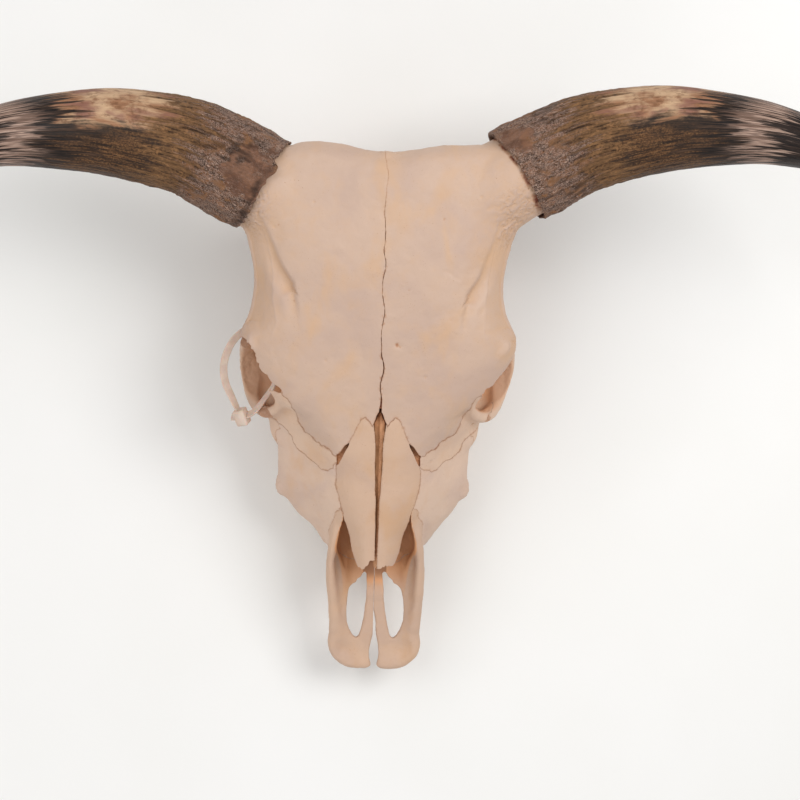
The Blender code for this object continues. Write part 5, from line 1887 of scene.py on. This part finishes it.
# %% Horn recipe
class HornRecipe(Recipe):
    """A recipe that holds the noise which the horn's colours share. All of it is long along the fibres."""

    def __init__(self, name):
        super().__init__(name)
        self.fibre = self.kept("fibre", "Vector")
        self.fine = self.field(620, 34, 5, 0.65)
        self.broad = self.field(120, 13, 3, 0.55, 0.3)
        self.spots = self.field(210, 80, 5, 0.7, 0.6)
        self.streaks = self.field(330, 17, 3, 0.6, 0.2)
        self.speckle = self.field(640, 420, 4, 0.75)
        self.mist = self.field(70, 40, 3, 0.6, 0.5, (4, 2, 1))
        self.blotch = self.field(64, 34, 4, 0.6, 0.5)
        drift = self.between(self.broad, 0.3, 0.7, -0.03, 0.03)
        drift = self.plus(drift, self.between(self.streaks, 0.25, 0.75, -0.05, 0.05))
        drift = self.plus(drift, self.between(self.fine, 0.25, 0.75, -0.015, 0.015))
        self.run = self.plus(self.kept("along"), drift)

    def field(self, across, lengthways, detail=4.0, rough=0.6, bend=0.0, moved=(0, 0, 0)):
        place = self.stretched((across, across, lengthways), self.fibre, moved)
        return self.noise(1.0, detail, rough, bend, place)


def hairs_of(r):
    """Thin curly lines, drawn where one of two bent noises passes its middle."""
    bent = r.field(560, 200, 2, 0.55, 1.6), r.field(800, 260, 2, 0.55, 1.6, (7, 3, 5))
    off = [r.maths("ABSOLUTE", r.maths("SUBTRACT", noise, 0.5)) for noise in bent]
    return r.between(r.maths("MINIMUM", *off), 0.045, 0.0)


horn = HornRecipe("horn")
hairs = hairs_of(horn)
print("shared by the horn's colours:", len(horn.tree.nodes), "nodes")

# %% [markdown]
# The middle of the horn is brown in front and tan behind, and a dark line runs where they meet.

# %% The middle of the horn
def brown_front(r):
    brown = r.over(paint(44, 30, 22), (112, 78, 50), r.fine, 0.38, 0.62)
    brown = r.over(brown, (34, 25, 20), r.speckle, 0.48, 0.6, 0.75)
    brown = r.over(brown, (152, 116, 76), r.speckle, 0.44, 0.32, 0.6)
    return r.over(brown, (52, 41, 36), r.mist, 0.5, 0.7, 0.45)


def tan_back(r):
    tan = r.over(paint(202, 168, 134), (158, 114, 84), r.blotch, 0.36, 0.62)
    tan = r.over(tan, (134, 90, 80), r.field(50, 22, 3, 0.5, 0.3), 0.47, 0.6, 0.75)
    tan = r.over(tan, (112, 74, 48), r.field(170, 120, 4, 0.65, 0.3), 0.5, 0.66, 0.6)
    return r.over(tan, (86, 58, 42), r.fine, 0.48, 0.72, 0.5)


def front_and_back(r):
    edge = r.plus(r.kept("facing"), r.between(r.blotch, 0.3, 0.7, -0.12, 0.12))
    edge = r.plus(edge, r.between(r.fine, 0.3, 0.7, -0.05, 0.05))
    begun = r.between(r.plus(r.run, r.between(r.mist, 0.3, 0.7, -0.06, 0.06)), 0.16, 0.27)
    line = r.times(r.between(edge, 0.12, 0.38), r.between(edge, 0.58, 0.4))
    line = r.times(line, r.between(r.run, 0.2, 0.38, 0.2, 0.85))
    colour = r.mixed(r.times(r.between(edge, 0.32, 0.62), begun), brown_front(r), tan_back(r))
    return r.mixed(r.times(line, begun), colour, paint(34, 27, 24))


horn_middle = front_and_back(horn)
print("with the horn's middle:", len(horn.tree.nodes), "nodes")

# %% [markdown]
# At the root the sheath is old and flaky: gold-brown first, then darker, with whitish curls of peeled
# keratin. They are left out on the smooth patch. Painted shade darkens the hollows between flakes.

# %% The root of the horn
def gold_part(r):
    gold = r.over(paint(146, 106, 70), (70, 48, 33), r.spots, 0.4, 0.62)
    gold = r.over(gold, (36, 26, 20), r.speckle, 0.46, 0.58, 0.8)
    return r.over(gold, (164, 122, 82), r.fine, 0.6, 0.45, 0.5)


def flaky_part(r, hairs):
    root = r.over(paint(136, 92, 64), (70, 46, 33), r.spots, 0.4, 0.62)
    root = r.over(root, (42, 30, 25), r.speckle, 0.46, 0.58, 0.8)
    root = r.over(root, (42, 32, 29), r.mist, 0.54, 0.66, 0.6)
    root = r.over(root, (156, 108, 68), r.mist, 0.46, 0.36, 0.7)
    patch = r.kept("patch")
    worn = r.over(paint(150, 108, 84), (112, 76, 58), r.blotch, 0.4, 0.6)
    root = r.mixed(r.between(patch, 0.3, 0.8, 0, 0.8), root, worn)
    shown = r.times(r.between(patch, 0.9, 0.2, 0.25, 1), r.between(r.run, 0.21, 0.12, 0.1, 1))
    shown = r.times(shown, r.between(r.mist, 0.34, 0.5, 0.35, 1))
    root = r.mixed(r.times(hairs, shown), root, paint(200, 168, 150))
    # Painted shade: where the sheath is sunk, between flakes and in the fold, it is darker.
    return r.over(root, (40, 28, 23), r.kept("lift"), -0.2, -0.9, 0.6)


horn_gold, horn_flakes = gold_part(horn), flaky_part(horn, hairs)
print("with the horn's root:", len(horn.tree.nodes), "nodes")

# %% [markdown]
# Towards the tip come black streaks, a pale streaky band, and black again. The colours are then laid over
# each other along the horn. A matt shader with little mirror shine is right for dry keratin, and it grows
# a little glossier towards the tip.

# %% The bands of the horn, and the whole finish
def banded(r, colour):
    black = r.over(paint(24, 19, 18), (92, 68, 52), r.fine, 0.42, 0.72, 0.75)
    colour = r.mixed(r.between(r.run, 0.4, 0.435), colour, black)
    pale = r.over(paint(188, 160, 144), (116, 90, 76), r.fine, 0.35, 0.68)
    pale = r.over(pale, (96, 73, 62), r.streaks, 0.46, 0.58, 0.8)
    pale = r.over(pale, (44, 34, 30), r.times(r.streaks, r.broad), 0.27, 0.33, 0.85)
    colour = r.mixed(r.between(r.run, 0.475, 0.505), colour, pale)
    tip = r.over(paint(28, 22, 21), (78, 60, 50), r.fine, 0.4, 0.75, 0.6)
    return r.mixed(r.between(r.run, 0.55, 0.59), colour, tip)


def horn_finish(r):
    colour = r.mixed(r.between(r.run, 0.27, 0.2), horn_middle, horn_gold)
    colour = r.mixed(r.between(r.run, 0.19, 0.11), colour, horn_flakes)
    # Painted shade: the fold's channel and the inside of the sheath's mouth are darkened.
    colour = r.over(banded(r, colour), (76, 55, 45), r.kept("fold_and_mouth_shade"), 0.1, 0.9, 0.7)
    normal = r.relief(r.fine, 0.28)
    normal = r.relief(r.times(hairs, r.between(r.run, 0.3, 0.12)), 0.35, normal)
    normal = r.relief(r.speckle, 0.18, normal)
    gloss = r.plus(r.between(r.run, 0.1, 0.7, 0.62, 0.4), r.between(r.fine, 0.3, 0.7, -0.06, 0.1))
    return r.done(colour, gloss, normal, **{"Specular IOR Level": 0.2})


HORN_FINISH = horn_finish(horn)
print("horn finish:", len(HORN_FINISH.node_tree.nodes), "nodes")

# %% [markdown]
# ## Nylon and floor
#
# Nylon lets a little light into it, which softens its shade, and it has yellowed unevenly. The floor is
# plain and matt.

# %% Nylon and floor finishes
def nylon_finish():
    r = Recipe("nylon")
    colour = r.over(paint(216, 196, 180), (204, 180, 163), r.noise(90, 3, 0.5), 0.35, 0.65)
    colour = r.over(colour, (184, 158, 138), r.noise(500, 4, 0.6), 0.5, 0.8, 0.3)
    normal = r.relief(r.noise(900, 2, 0.5), 0.03)
    gloss = r.between(r.noise(160, 2), 0.3, 0.7, 0.28, 0.42)
    return r.done(colour, gloss, normal, **{"Subsurface Weight": 0.3, "Subsurface Scale": 0.002})


def floor_finish():
    r = Recipe("floor")
    colour = r.over(paint(243, 242, 240), (240, 239, 236), r.noise(3, 3), 0.3, 0.7)
    return r.done(colour, r.between(r.noise(40, 3), 0.3, 0.7, 0.7, 0.8), r.relief(r.noise(300, 3), 0.05))


NYLON = nylon_finish()
floor.data.materials.append(floor_finish())
print("finishes:", len(bpy.data.materials), "materials in the file")

# %% [markdown]
# ## Hand the pieces over
#
# Each piece takes its finish, is shaded smooth up to a sharp corner, and takes the place of the node of the
# packed model, which is hidden. Nothing moves on a skull, so that all of it rides on the root body.

# %% Dress and hand over every piece
SHADES = {
    "frontal": "bone_brow", "lacrimal": "bone_cheek", "zygomatic": "bone_cheek", "premaxilla": "bone_muzzle",
    "palatine": "bone_base", "maxilla": "bone_jaw", "nasal": "bone_muzzle", "cranium": "bone_base",
}
CORNER = math.radians(42)


def dressed(obj, material):
    obj.data.materials.clear()
    obj.data.materials.append(material)
    pick(obj)
    bpy.ops.object.shade_smooth_by_angle(angle=CORNER)
    return obj


def handed(obj, name, node):
    obj.name = name
    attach(obj, "root")
    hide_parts(node)


for (name, side_name), bone in bones.items():
    dressed(bone, BONE[SHADES[name]])
    if name == "maxilla":
        for obj in teeth[side_name]:
            dressed(obj, TOOTH)
        joined("jaw", [bone] + teeth[side_name])
    node = f"{name}_{side_name}" if side_name else name
    handed(bone, "skull_" + node, node)
for side_name, obj in horns.items():
    handed(dressed(obj, HORN_FINISH), "sheath_" + side_name, "horn_sheath_" + side_name)
handed(dressed(tie, NYLON), "nylon_tie", "cable_tie")
